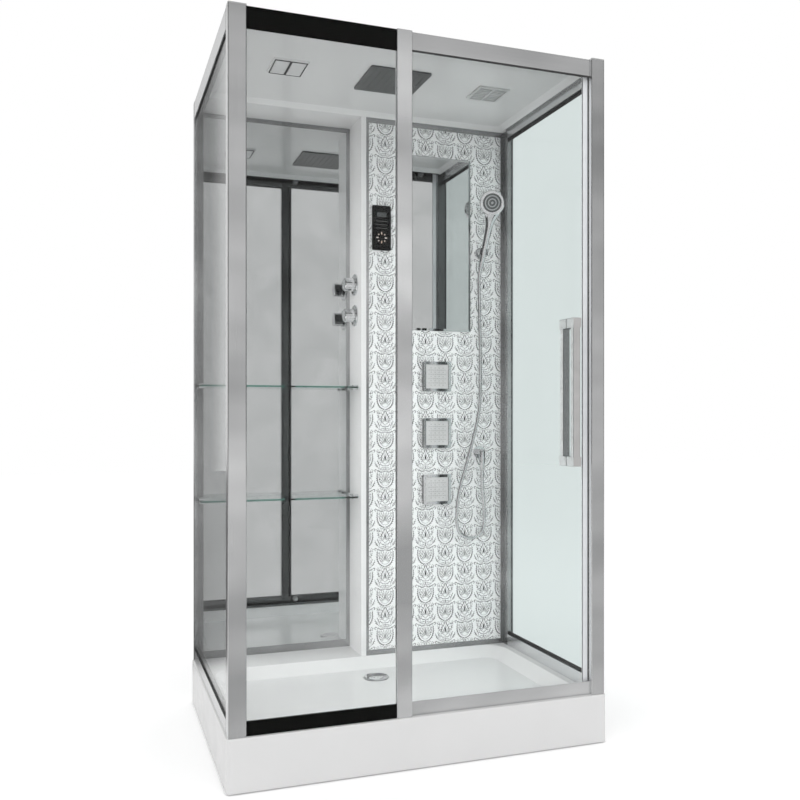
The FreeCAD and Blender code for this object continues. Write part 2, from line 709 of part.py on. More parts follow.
def drain_pieces():
    """Trap below the floor, gasket, clamping flange and lift-off cover."""
    axis = Vector(0, BACK - DRAIN_FROM_BACK, 0)
    recess_floor = FLOOR_TOP - DRAIN_RECESS
    boss_low = FLOOR_UNDER - DRAIN_BOSS
    trap_top = boss_low - GASKET_THICKNESS
    neck_bore = DRAIN_NECK_RADIUS - DRAIN_NECK_WALL
    flange = turned([
        (neck_bore, recess_floor + DRAIN_FLANGE),
        (neck_bore, recess_floor - DRAIN_NECK),
        (DRAIN_NECK_RADIUS, recess_floor - DRAIN_NECK),
        (DRAIN_NECK_RADIUS, recess_floor),
        (DRAIN_FLANGE_RADIUS, recess_floor),
        (DRAIN_FLANGE_RADIUS, recess_floor + DRAIN_FLANGE / 2),
        (DRAIN_FLANGE_RADIUS - DRAIN_FLANGE, recess_floor + DRAIN_FLANGE),
    ], axis, Z_AXIS)
    gasket_start = axis + Z_AXIS * trap_top
    gasket = tube(gasket_start, Z_AXIS, DRAIN_BOSS_RADIUS, DRAIN_HOLE_RADIUS, GASKET_THICKNESS)
    cup = turned([
        (0, TRAP_BOTTOM),
        (TRAP_RADIUS, TRAP_BOTTOM),
        (TRAP_RADIUS, trap_top - TRAP_FLANGE),
        (DRAIN_BOSS_RADIUS, trap_top - TRAP_FLANGE),
        (DRAIN_BOSS_RADIUS, trap_top),
        (0, trap_top),
    ], axis, Z_AXIS)
    outlet_start = axis + Z_AXIS * OUTLET_HEIGHT
    outlet_length = DRAIN_FROM_BACK - OUTLET_FROM_BACK
    shoulder = rod(outlet_start, Y_AXIS, OUTLET_RADIUS + OUTLET_SHOULDER, outlet_length - OUTLET_SPIGOT)
    cup = fuse([cup, shoulder, rod(outlet_start, Y_AXIS, OUTLET_RADIUS, outlet_length)])
    well_radius = TRAP_RADIUS - TRAP_WALL
    well_low = TRAP_BOTTOM + TRAP_WALL
    cup = cup.cut(rod(axis + Z_AXIS * well_low, Z_AXIS, well_radius, trap_top - TRAP_FLANGE - well_low))
    cup = cup.cut(rod(axis + Z_AXIS * well_low, Z_AXIS, DRAIN_NECK_RADIUS + FIT, trap_top - well_low + CUT))
    cup = cup.cut(rod(outlet_start, Y_AXIS, OUTLET_RADIUS - OUTLET_WALL, outlet_length + CUT))
    seat = recess_floor + DRAIN_FLANGE
    disc_low = seat + COVER_GAP
    disc_high = disc_low + COVER_THICKNESS
    cover = turned([
        (0, seat - COVER_PLUG),
        (neck_bore - 2 * FIT, seat - COVER_PLUG),
        (neck_bore - 2 * FIT, seat),
        (DRAIN_NECK_RADIUS, seat),
        (DRAIN_NECK_RADIUS, disc_low),
        (COVER_RADIUS, disc_low),
        (COVER_RADIUS, disc_high),
        (COVER_RADIUS - COVER_CROWN, disc_high + COVER_CROWN / 2),
        (0, disc_high + COVER_CROWN),
    ], axis, Z_AXIS)
    return cup, gasket, flange, cover


# Aluminium frame

def pane_groove(pane):
    """Limits across a glazing groove."""
    return grow(pane, GROOVE_CLEARANCE)


def posts():
    """Front posts with grooves for the panes, the notched middle post and the two back posts."""
    height = (RIM_HEIGHT, FRAME_TOP)
    groove_height = grow(height, CUT)
    front_groove = pane_groove((PANE_FRONT, PANE_BACK))
    left_groove = pane_groove(LEFT_PANE)
    right_groove = pane_groove(RIGHT_PANE)
    side_reach = (POST_BACK - GROOVE_DEPTH, POST_BACK + CUT)
    fixed_reach = (LEFT_POST_FACE - GROOVE_DEPTH, LEFT_POST_FACE + CUT)
    front_y = (FRAME_FRONT, POST_BACK)
    left = hollow_bar((FRAME_LEFT, LEFT_POST_FACE), front_y, height, 2, [
        [fixed_reach, front_groove, groove_height],
        [left_groove, side_reach, groove_height],
    ], POST_ROUND)
    right = hollow_bar((RIGHT_POST_FACE, FRAME_RIGHT), front_y, height, 2, [
        [right_groove, side_reach, groove_height],
    ], POST_ROUND)
    middle_y = (FRAME_FRONT, FRAME_FRONT + MIDDLE_POST_DEPTH)
    middle_reach = (MIDDLE_POST_LEFT - CUT, MIDDLE_POST_LEFT + GROOVE_DEPTH)
    middle = hollow_bar((MIDDLE_POST_LEFT, MIDDLE_POST_RIGHT), middle_y, height, 2, [
        [middle_reach, front_groove, groove_height],
    ], BAR_WALL)
    notch_x = grow((MIDDLE_POST_LEFT, MIDDLE_POST_RIGHT), CUT)
    notch_y = (RAIL_FRONT - FIT, middle_y[1] + CUT)
    middle = middle.cut(block(notch_x, notch_y, (RIM_HEIGHT - CUT, BOTTOM_RAIL_HIGH + FIT)))
    middle = middle.cut(block(notch_x, notch_y, (TOP_RAIL_LOW - FIT, FRAME_TOP + CUT)))
    back_left = hollow_bar((FRAME_LEFT, LEFT_BAR_FACE), (BACK_LEFT_POST_FRONT, FRAME_BACK), height, 2, [
        [left_groove, (BACK_LEFT_POST_FRONT - CUT, BACK_LEFT_POST_FRONT + GROOVE_DEPTH), groove_height],
    ])
    back_right_y = (BACK_RIGHT_POST_FRONT, BACK_RIGHT_POST_BACK)
    back_right = hollow_bar((RIGHT_BAR_FACE, FRAME_RIGHT), back_right_y, height, 2, [
        [right_groove, (BACK_RIGHT_POST_FRONT - CUT, BACK_RIGHT_POST_FRONT + GROOVE_DEPTH), groove_height],
    ])
    return left, right, middle, back_left, back_right


def post_caps():
    """Plastic caps on the open ends of the corner posts."""
    z = (FRAME_TOP, FRAME_TOP + CAP_HEIGHT)
    front_y = (FRAME_FRONT, POST_BACK)
    places = [
        ((FRAME_LEFT, LEFT_POST_FACE), front_y),
        ((RIGHT_POST_FACE, FRAME_RIGHT), front_y),
        ((FRAME_LEFT, LEFT_BAR_FACE), (BACK_LEFT_POST_FRONT, FRAME_BACK)),
        ((RIGHT_BAR_FACE, FRAME_RIGHT), (BACK_RIGHT_POST_FRONT, BACK_RIGHT_POST_BACK)),
    ]
    return [soften(block(x, y, z), POST_ROUND, Z_AXIS) for x, y in places]


def rail_front_top():
    """Top rail: front wall, roof ledge behind and a shelf with the rib that the rollers run on."""
    wall = RAIL_FRONT + BAR_WALL
    web = RAIL_BACK - BAR_WALL
    ledge_low = ROOF_SEAT - BAR_WALL
    under = FRAME_TOP - BAR_WALL
    rib = around(WHEEL_MIDDLE, RIB_WIDTH)
    shelf_low = TRACK_TOP - BAR_WALL
    outline = [
        (RAIL_FRONT, TOP_RAIL_LOW), (wall, TOP_RAIL_LOW), (wall, shelf_low),
        (RAIL_FRONT + TRACK_DEPTH, shelf_low), (RAIL_FRONT + TRACK_DEPTH, TRACK_TOP), (rib[1], TRACK_TOP),
        (rib[1], RIB_TOP), (rib[0], RIB_TOP), (rib[0], TRACK_TOP), (wall, TRACK_TOP), (wall, under),
        (web, under), (web, ledge_low), (RAIL_BACK + ROOF_LEDGE, ledge_low),
        (RAIL_BACK + ROOF_LEDGE, ROOF_SEAT), (RAIL_BACK, ROOF_SEAT), (RAIL_BACK, FRAME_TOP),
        (RAIL_FRONT, FRAME_TOP),
    ]
    return front_profile(outline)


def rail_front_bottom():
    """Bottom rail: front wall, base with the guide rib and a low lip behind."""
    wall = RAIL_FRONT + BAR_WALL
    base = RIM_HEIGHT + BAR_WALL
    lip = RAIL_BACK - BAR_WALL
    rib = around(WHEEL_MIDDLE, RIB_WIDTH)
    outline = [
        (RAIL_FRONT, RIM_HEIGHT), (RAIL_BACK, RIM_HEIGHT), (RAIL_BACK, RIM_HEIGHT + REAR_LIP),
        (lip, RIM_HEIGHT + REAR_LIP), (lip, base), (rib[1], base), (rib[1], GUIDE_TOP), (rib[0], GUIDE_TOP),
        (rib[0], base), (wall, base), (wall, BOTTOM_RAIL_HIGH), (RAIL_FRONT, BOTTOM_RAIL_HIGH),
    ]
    return front_profile(outline)


def front_profile(outline):
    """Extrusion between the faces of the two front posts."""
    points = [Vector(LEFT_POST_FACE, y, z) for y, z in outline]
    return prism(points, X_AXIS * (RIGHT_POST_FACE - LEFT_POST_FACE))


def side_rails(x, pane, ledge_x, end):
    """Top rail with a roof ledge and bottom rail of one side."""
    y = (POST_BACK, end)
    groove_y = grow(y, CUT)
    groove_x = pane_groove(pane)
    top_groove = [groove_x, groove_y, (TOP_RAIL_LOW - CUT, TOP_RAIL_LOW + GROOVE_DEPTH)]
    low_groove = [groove_x, groove_y, (BOTTOM_RAIL_HIGH - GROOVE_DEPTH, BOTTOM_RAIL_HIGH + CUT)]
    top = hollow_bar(x, y, (TOP_RAIL_LOW, FRAME_TOP), 1, [top_groove])
    ledge = block(ledge_x, y, (ROOF_SEAT - BAR_WALL, ROOF_SEAT))
    bottom = hollow_bar(x, y, (RIM_HEIGHT, BOTTOM_RAIL_HIGH), 1, [low_groove])
    return [fuse([top, ledge]), bottom]


def side_panes():
    """Left and right panes, let into the grooves all round."""
    reach = GROOVE_DEPTH - PANE_END_GAP
    z = (BOTTOM_RAIL_HIGH - reach, TOP_RAIL_LOW + reach)
    left = block(LEFT_PANE, (POST_BACK - reach, BACK_LEFT_POST_FRONT + reach), z)
    right = block(RIGHT_PANE, (POST_BACK - reach, BACK_RIGHT_POST_FRONT + reach), z)
    return [left, right]


def fixed_pane():
    """Fixed pane in front of the rails, with the two bands behind its glass."""
    reach = GROOVE_DEPTH - PANE_END_GAP
    z = (RIM_HEIGHT + PANE_END_GAP, FRAME_TOP - PANE_END_GAP)
    pane = block((LEFT_POST_FACE - reach, MIDDLE_POST_LEFT + reach), (PANE_FRONT, PANE_BACK), z)
    band_x = (LEFT_POST_FACE, MIDDLE_POST_LEFT)
    band_y = (PANE_BACK, RAIL_FRONT)
    bands = [
        block(band_x, band_y, (z[1] - BAND_TOP, z[1])),
        block(band_x, band_y, (z[0], z[0] + BAND_BOTTOM)),
    ]
    return pane, bands


def frame_seals():
    """Gaskets of the side panes, the top rail's wiper, the middle post's lip and the right post's strip."""
    seals = []
    sides = [
        ((LEFT_PANE[1], LEFT_PANE[1] + GASKET_WIDTH), BACK_LEFT_POST_FRONT),
        ((RIGHT_PANE[0] - GASKET_WIDTH, RIGHT_PANE[0]), BACK_RIGHT_POST_FRONT),
    ]
    for x, end in sides:
        y = (POST_BACK, end)
        seals.append(block(x, y, (BOTTOM_RAIL_HIGH, BOTTOM_RAIL_HIGH + GASKET_HEIGHT)))
        seals.append(block(x, y, (TOP_RAIL_LOW - GASKET_HEIGHT, TOP_RAIL_LOW)))
    wiper_y = (RAIL_FRONT - GASKET_WIDTH, RAIL_FRONT)
    wiper_z = (TOP_RAIL_LOW, TOP_RAIL_LOW + WIPER_HEIGHT)
    seals.append(block((MIDDLE_POST_RIGHT, RIGHT_POST_FACE), wiper_y, wiper_z))
    between = (BOTTOM_RAIL_HIGH + FIT, TOP_RAIL_LOW - FIT)
    lip_right = MIDDLE_POST_RIGHT - LIP_FROM_EDGE
    lip_y = (FRAME_FRONT + MIDDLE_POST_DEPTH, DOOR_FRONT - LIP_GAP)
    seals.append(block((lip_right - LIP_WIDTH, lip_right), lip_y, between))
    strip_x = (RIGHT_POST_FACE - SEAL_STRIP, RIGHT_POST_FACE)
    strip_y = grow((DOOR_FRONT, DOOR_BACK), SEAL_WALL)
    seals.append(block(strip_x, strip_y, (BOTTOM_RAIL_HIGH, TOP_RAIL_LOW)))
    return seals


# Sliding door

def door_pane():
    """Door glass, drilled for the roller axles and the handle studs."""
    pane = block((DOOR_LEFT, DOOR_RIGHT), (DOOR_FRONT, DOOR_BACK), (DOOR_LOW, DOOR_HIGH))
    for x, z in roller_centres().values():
        pane = pane.cut(door_hole(x, z, AXLE_RADIUS))
    for z in HANDLE_STUD_HEIGHTS:
        pane = pane.cut(door_hole(HANDLE_X, z, STUD_RADIUS))
    return pane


def door_hole(x, z, radius):
    """Clearance hole through the door glass."""
    return rod(Vector(x, DOOR_FRONT - CUT, z), Y_AXIS, radius + FIT, DOOR_GLASS + 2 * CUT)


def door_seal():
    """Magnetic seal that grips the closing edge of the door glass."""
    x = (DOOR_RIGHT - SEAL_GRIP, RIGHT_POST_FACE - SEAL_STRIP - FIT)
    profile = block(x, grow((DOOR_FRONT, DOOR_BACK), SEAL_WALL), (DOOR_LOW, DOOR_HIGH))
    slot_x = (DOOR_RIGHT - SEAL_GRIP - CUT, DOOR_RIGHT)
    profile = profile.cut(block(slot_x, (DOOR_FRONT, DOOR_BACK), grow((DOOR_LOW, DOOR_HIGH), CUT)))
    chamber_x = (DOOR_RIGHT + SEAL_WALL, x[1] - SEAL_WALL)
    return profile.cut(block(chamber_x, (DOOR_FRONT, DOOR_BACK), grow((DOOR_LOW, DOOR_HIGH), CUT)))


def door_handles():
    """Square-bar handles outside and inside; studs on the inner one screw into the outer one."""
    outer = handle(DOOR_FRONT, -1)
    inner = handle(DOOR_BACK, 1)
    stud_start = DOOR_FRONT - STUD_GRIP
    stud_length = DOOR_GLASS + STUD_GRIP + HANDLE_BLOCK_WIDTH / 2
    for z in HANDLE_STUD_HEIGHTS:
        inner = inner.fuse(rod(Vector(HANDLE_X, stud_start, z), Y_AXIS, STUD_RADIUS, stud_length))
        hole_start = Vector(HANDLE_X, stud_start - FIT, z)
        outer = outer.cut(rod(hole_start, Y_AXIS, STUD_RADIUS + FIT, STUD_GRIP + FIT))
    return [outer, inner]


def handle(face, side):
    """Two blocks on the glass with a square bar let in between them."""
    reach = sorted((face, face + side * HANDLE_REACH))
    bar_outer = face + side * (HANDLE_REACH - HANDLE_BAR_SET)
    bar_y = sorted((bar_outer, bar_outer - side * HANDLE_BAR_DEPTH))
    block_x = around(HANDLE_X, HANDLE_BLOCK_WIDTH)
    low = block(block_x, reach, (HANDLE_LOW, HANDLE_LOW + HANDLE_BLOCK_HEIGHT))
    high = block(block_x, reach, (HANDLE_HIGH - HANDLE_BLOCK_HEIGHT, HANDLE_HIGH))
    middle = (HANDLE_LOW + HANDLE_BLOCK_HEIGHT / 2, HANDLE_HIGH - HANDLE_BLOCK_HEIGHT / 2)
    bar = soften(block(around(HANDLE_X, HANDLE_BAR_WIDTH), bar_y, middle), HANDLE_ROUND, Z_AXIS)
    return fuse([soften(low, HANDLE_ROUND, Y_AXIS), bar, soften(high, HANDLE_ROUND, Y_AXIS)])


def roller_centres():
    """Place of each roller, by name."""
    centres = {}
    for row, z in ROLLER_HEIGHTS.items():
        for side, x in ROLLER_PLACES.items():
            centres["roller_" + row + "_" + side] = (x, z)
    return centres


def roller(x, z):
    """Grooved wheel with a running bore."""
    bore = AXLE_RADIUS + RUNNING_FIT
    groove = around(WHEEL_WIDTH / 2, WHEEL_GROOVE_WIDTH)
    return turned([
        (bore, 0),
        (WHEEL_RADIUS, 0),
        (WHEEL_RADIUS, groove[0] / 2),
        (WHEEL_GROOVE_RADIUS, groove[0]),
        (WHEEL_GROOVE_RADIUS, groove[1]),
        (WHEEL_RADIUS, WHEEL_WIDTH - groove[0] / 2),
        (WHEEL_RADIUS, WHEEL_WIDTH),
        (bore, WHEEL_WIDTH),
    ], Vector(x, WHEEL_FRONT, z), Y_AXIS)


def roller_axles():
    """Headed axles with a collar in front of the door glass and a nut behind it."""
    axles = []
    head_back = AXLE_HEAD
    collar_front = AXLE_HEAD + WHEEL_WIDTH + 2 * FIT
    glass_front = AXLE_HEAD + FIT + WHEEL_WIDTH + COLLAR
    glass_back = glass_front + DOOR_GLASS
    for x, z in roller_centres().values():
        axles.append(turned([
            (0, 0),
            (AXLE_HEAD_RADIUS, 0),
            (AXLE_HEAD_RADIUS, head_back),
            (AXLE_RADIUS, head_back),
            (AXLE_RADIUS, collar_front),
            (AXLE_HEAD_RADIUS, collar_front),
            (AXLE_HEAD_RADIUS, glass_front),
            (AXLE_RADIUS, glass_front),
            (AXLE_RADIUS, glass_back),
            (AXLE_NUT_RADIUS, glass_back),
            (AXLE_NUT_RADIUS, glass_back + AXLE_NUT),
            (0, glass_back + AXLE_NUT),
        ], Vector(x, WHEEL_FRONT - FIT - AXLE_HEAD, z), Y_AXIS))
    return axles


# Roof

def roof_shell():
    """Formed sheet with a raised ceiling, pierced for the fittings and the rain pipe."""
    plate_x = (LEFT_BAR_FACE + ROOF_GAP, RIGHT_BAR_FACE - ROOF_GAP)
    plate_y = (RAIL_BACK + ROOF_GAP, FRAME_BACK)
    z = (ROOF_SEAT, ROOF_SEAT + ROOF_SHEET)
    corner_x = (RIGHT_BAR_FACE - ROOF_CORNER_LAP, FRAME_RIGHT)
    corner_y = (BACK_RIGHT_POST_BACK + ROOF_GAP, FRAME_BACK)
    plate = fuse([block(plate_x, plate_y, z), block(corner_x, corner_y, z)])
    pan_x = grow(plate_x, -ROOF_LEDGE)
    pan_y = (plate_y[0] + ROOF_LEDGE, COLUMN_FRONT)
    slope = CEILING_LIP - ROOF_LEDGE
    corners = (CEILING_CORNER, CEILING_CORNER)
    inner = dish(pan_x, pan_y, (ROOF_SEAT, CEILING), slope, corners)
    outer = dish(grow(pan_x, ROOF_SHEET), grow(pan_y, ROOF_SHEET), (ROOF_SEAT, CEILING_TOP), slope, corners)
    shell = fuse([plate, outer]).cut(inner)
    opening_width = FITTING_WIDTH - 2 * FITTING_BOX_INSET
    opening_depth = FITTING_DEPTH - 2 * FITTING_BOX_INSET
    for x in (-SIDE_FITTING_X, SIDE_FITTING_X):
        opening_z = grow((CEILING, CEILING_TOP), CUT)
        shell = shell.cut(block(around(x, opening_width), around(FITTING_Y, opening_depth), opening_z))
    stem_hole = rod(Vector(0, FITTING_Y, CEILING - CUT), Z_AXIS, HEAD_STEM_RADIUS + FIT, ROOF_SHEET + 2 * CUT)
    riser = Vector(VALVE_END + RISER_FROM_VALVE, VALVE_Y, ROOF_SEAT - CUT)
    return shell.cut(stem_hole).cut(rod(riser, Z_AXIS, PIPE_HOLE_RADIUS, ROOF_SHEET + 2 * CUT))


def rain_head():
    """Square head under the ceiling, with its nozzles and the stem that goes through the roof."""
    low = CEILING - HEAD_THICKNESS
    plate = block(around(0, HEAD_SIDE), around(FITTING_Y, HEAD_SIDE), (low, CEILING))
    plate = soften(plate, HEAD_ROUND, Z_AXIS)
    stem = rod(Vector(0, FITTING_Y, CEILING - HEAD_THICKNESS / 2), Z_AXIS, HEAD_STEM_RADIUS, HEAD_STEM)
    nut = rod(Vector(0, FITTING_Y, CEILING_TOP), Z_AXIS, HEAD_NUT_RADIUS, HEAD_NUT)
    down = -Z_AXIS

    def place(across, along):
        return Vector(across, FITTING_Y + along, low), down

    return fuse([plate, stem, nut] + nozzle_grid(HEAD_NOZZLES, HEAD_SIDE, HEAD_NOZZLE_MARGIN, place))


def twin_bezel(x):
    """Flat bezel under the ceiling with two windows side by side."""
    z = (CEILING - FITTING_BEZEL, CEILING)
    bezel = block(around(x, FITTING_WIDTH), around(FITTING_Y, FITTING_DEPTH), z)
    bezel = soften(bezel, FITTING_ROUND, Z_AXIS)
    for window in twin_windows(x):
        bezel = bezel.cut(block(window[0], window[1], grow(z, CUT)))
    return bezel


def twin_windows(x):
    """Limits of the two windows of a bezel."""
    half = FITTING_WIDTH / 2
    window_y = grow(around(FITTING_Y, FITTING_DEPTH), -FITTING_FRAME)
    left_x = (x - half + FITTING_FRAME, x - FITTING_FRAME / 2)
    right_x = (x + FITTING_FRAME / 2, x + half - FITTING_FRAME)
    return [(left_x, window_y), (right_x, window_y)]


def fitting_box(x, low, height):
    """Square housing above the ceiling with a thin wall, open below."""
    width = FITTING_WIDTH - 2 * FITTING_BOX_INSET - 2 * FIT
    depth = FITTING_DEPTH - 2 * FITTING_BOX_INSET - 2 * FIT
    box = block(around(x, width), around(FITTING_Y, depth), (low, CEILING_TOP + height))
    inside_x = around(x, width - 2 * FAN_WALL)
    inside_y = around(FITTING_Y, depth - 2 * FAN_WALL)
    return box.cut(block(inside_x, inside_y, (low - CUT, CEILING_TOP + height - FAN_WALL)))


def lamp_pieces():
    """Twin lamp: bezel with its housing, and two diffusers."""
    x = -SIDE_FITTING_X
    body = fuse([twin_bezel(x), fitting_box(x, CEILING, LAMP_BOX_HEIGHT)])
    diffusers = []
    for window in twin_windows(x):
        z = (CEILING - FITTING_BEZEL - DIFFUSER_DROP, CEILING)
        diffusers.append(soften(block(window[0], window[1], z), DIFFUSER_DROP, Y_AXIS))
    return body, diffusers


def vent_grille():
    """Twin grille with slats across both windows."""
    x = SIDE_FITTING_X
    pieces = [twin_bezel(x)]
    for window_x, window_y in twin_windows(x):
        pitch = (window_y[1] - window_y[0]) / SLAT_COUNT
        for index in range(SLAT_COUNT):
            middle = window_y[0] + pitch / 2 + index * pitch
            slat_x = grow(window_x, FITTING_FRAME / 4)
            z = (CEILING - FITTING_BEZEL * SLAT_SHARE, CEILING)
            pieces.append(block(slat_x, around(middle, pitch * SLAT_SHARE), z))
    return fuse(pieces)


def fan_pieces():
    """Fan housing with a spider and shaft over the vent, and the rotor that hangs on the shaft."""
    x = SIDE_FITTING_X
    top = CEILING_TOP + FAN_BOX_HEIGHT
    housing = fitting_box(x, CEILING, FAN_BOX_HEIGHT)
    bore = fan_radius()
    housing = housing.cut(rod(Vector(x, FITTING_Y, top - FAN_WALL - CUT), Z_AXIS, bore, FAN_WALL + 2 * CUT))
    spider_z = (top - FAN_SPIDER, top)
    span = 2 * bore + FAN_WALL
    arms = [
        block(around(x, span), around(FITTING_Y, FAN_SPIDER_WIDTH), spider_z),
        block(around(x, FAN_SPIDER_WIDTH), around(FITTING_Y, span), spider_z),
    ]
    hub_top = top - FAN_SPIDER - FIT
    hub_low = hub_top - FAN_HUB_HEIGHT
    shaft_low = Vector(x, FITTING_Y, hub_low + FAN_WALL)
    shaft = rod(shaft_low, Z_AXIS, FAN_SHAFT_RADIUS, top - FAN_SPIDER / 2 - hub_low - FAN_WALL)
    housing = fuse([housing, shaft] + arms)
    centre = Vector(x, FITTING_Y, hub_low)
    rotor = rod(centre, Z_AXIS, FAN_HUB_RADIUS, FAN_HUB_HEIGHT)
    reach = bore - FAN_TIP_GAP
    chord = FAN_HUB_HEIGHT * FAN_BLADE_SHARE
    for index in range(FAN_BLADES):
        blade = block((FAN_HUB_RADIUS / 2, reach), around(0, FAN_BLADE_THICKNESS), around(0, chord))
        blade.rotate(ORIGIN, X_AXIS, FAN_BLADE_TILT)
        blade.rotate(ORIGIN, Z_AXIS, 360.0 * index / FAN_BLADES)
        blade.translate(centre + Z_AXIS * (FAN_HUB_HEIGHT / 2))
        rotor = rotor.fuse(blade)
    bore_start = Vector(x, FITTING_Y, hub_low + FAN_WALL - FIT)
    rotor = rotor.cut(rod(bore_start, Z_AXIS, FAN_SHAFT_RADIUS + RUNNING_FIT, FAN_HUB_HEIGHT))
    return housing, rotor.removeSplitter()


def fan_radius():
    """Radius of the fan's throat inside its housing."""
    return FITTING_WIDTH / 2 - FITTING_BOX_INSET - 2 * FAN_WALL


# Column

def column_shell():
    """White return beside the niche, a plain right side, and flanges at the top and bottom."""
    z = (RIM_HEIGHT, ROOF_SEAT)
    left = block((COLUMN_LEFT, COLUMN_LEFT + COLUMN_WALL), (COLUMN_FRONT, FRAME_BACK), z)
    strip = block((COLUMN_LEFT, PANEL_LEFT), (COLUMN_FRONT, COLUMN_FRONT + COLUMN_WALL), z)
    fold = block((PANEL_LEFT - COLUMN_WALL, PANEL_LEFT), (COLUMN_FRONT, COLUMN_FRONT + PANEL_FRAME_DEPTH), z)
    hem_y = (FRAME_BACK - COLUMN_WALL, FRAME_BACK)
    left_hem = block((COLUMN_LEFT, PANEL_LEFT), hem_y, z)
    right_y = (BACK_RIGHT_POST_BACK, FRAME_BACK)
    right = block((FRAME_RIGHT - COLUMN_WALL, FRAME_RIGHT), right_y, z)
    right_hem = block((FRAME_RIGHT - COLUMN_STRIP, FRAME_RIGHT), hem_y, z)
    flange_front = COLUMN_FRONT + PANEL_FRAME_DEPTH
    flange_y = (flange_front, flange_front + COLUMN_FLANGE)
    flange_x = (COLUMN_LEFT, FRAME_RIGHT)
    low = block(flange_x, flange_y, (RIM_HEIGHT, RIM_HEIGHT + COLUMN_WALL))
    high = block(flange_x, flange_y, (ROOF_SEAT - COLUMN_WALL, ROOF_SEAT))
    shell = fuse([left, strip, fold, left_hem, right, right_hem, low, high])
    for height in (MIXER_HEIGHT, DIVERTER_HEIGHT):
        hole = Vector(COLUMN_LEFT - CUT, VALVE_Y, height)
        shell = shell.cut(rod(hole, X_AXIS, SPINDLE_HOLE_RADIUS, COLUMN_WALL + 2 * CUT))
    return shell


def panel_limits():
    """Limits of the ornamented glass inside its frame."""
    inset_x = PANEL_FRAME_SIDE - PANEL_GRIP
    inset_z = PANEL_FRAME_WIDTH - PANEL_GRIP
    return grow((PANEL_LEFT, PANEL_RIGHT), -inset_x), grow((RIM_HEIGHT, ROOF_SEAT), -inset_z)


def panel_frame():
    """Aluminium frame with a groove all round for the glass."""
    x = (PANEL_LEFT, PANEL_RIGHT)
    y = (COLUMN_FRONT, COLUMN_FRONT + PANEL_FRAME_DEPTH)
    z = (RIM_HEIGHT, ROOF_SEAT)
    frame = block(x, y, z)
    frame = frame.cut(block(grow(x, -PANEL_FRAME_SIDE), grow(y, CUT), grow(z, -PANEL_FRAME_WIDTH)))
    glass_x, glass_z = panel_limits()
    return frame.cut(block(glass_x, (PANEL_FACE, PANEL_BACK), glass_z))


def panel_glass():
    """Ornamented glass, drilled for the jets, the outlet and the control panel's neck."""
    glass_x, glass_z = panel_limits()
    glass = block(glass_x, (PANEL_FACE, PANEL_BACK), glass_z)
    for height in JET_HEIGHTS:
        glass = glass.cut(panel_hole(JET_X, height, JET_BODY_RADIUS))
    glass = glass.cut(panel_hole(ELBOW_X, ELBOW_HEIGHT, ELBOW_STEM_RADIUS))
    neck_x, neck_z = control_neck()
    return glass.cut(block(grow(neck_x, FIT), grow((PANEL_FACE, PANEL_BACK), CUT), grow(neck_z, FIT)))


def panel_hole(x, z, radius):
    """Clearance hole through the ornamented glass."""
    return rod(Vector(x, PANEL_FACE - CUT, z), Y_AXIS, radius + FIT, GLASS + 2 * CUT)


def control_neck():
    """Limits of the control panel's neck through the glass."""
    return grow(CONTROL_X, -CONTROL_WINDOW_INSET), grow((CONTROL_LOW, CONTROL_HIGH), -CONTROL_WINDOW_INSET)


def panel_mirror():
    """Tall mirror on the ornamented glass, bevelled all round."""
    x = grow((PANEL_LEFT, PANEL_RIGHT), -PANEL_MIRROR_MARGIN)
    high = ROOF_SEAT - PANEL_MIRROR_FROM_TOP
    z = (high - PANEL_MIRROR_HEIGHT, high)
    front = PANEL_FACE - GLASS
    bevel_back = front + PANEL_MIRROR_BEVEL_DEPTH
    outlines = []
    for y, inset in ((bevel_back, 0), (front, PANEL_MIRROR_BEVEL)):
        left, right = grow(x, -inset)
        low, top = grow(z, -inset)
        corners = [Vector(left, y, low), Vector(right, y, low), Vector(right, y, top), Vector(left, y, top)]
        outlines.append(Part.makePolygon(corners + [corners[0]]))
    bevel = Part.makeLoft(outlines, True, True)
    return fuse([block(x, (bevel_back, PANEL_FACE), z), bevel])


def control_pieces():
    """Black touch panel, and its box behind the glass with a cable gland at the back."""
    plate = block(CONTROL_X, (PANEL_FACE - CONTROL_THICKNESS, PANEL_FACE), (CONTROL_LOW, CONTROL_HIGH))
    plate = soften(plate, CONTROL_ROUND, Y_AXIS)
    neck_x, neck_z = control_neck()
    box_back = PANEL_BACK + CONTROL_BOX_DEPTH
    neck = block(neck_x, (PANEL_FACE, box_back), neck_z)
    box = soften(block(CONTROL_X, (PANEL_BACK, box_back), (CONTROL_LOW, CONTROL_HIGH)), CONTROL_ROUND, Y_AXIS)
    gland_start = Vector(CONTROL_MIDDLE[0], box_back - GLAND_BURIED, CONTROL_MIDDLE[1])
    gland_length = GLAND_BURIED + GLAND_LENGTH
    gland = rod(gland_start, Y_AXIS, GLAND_RADIUS, gland_length)
    box = fuse([box, neck, gland])
    return plate, box.cut(rod(gland_start, Y_AXIS, GLAND_BORE_RADIUS, gland_length + CUT))


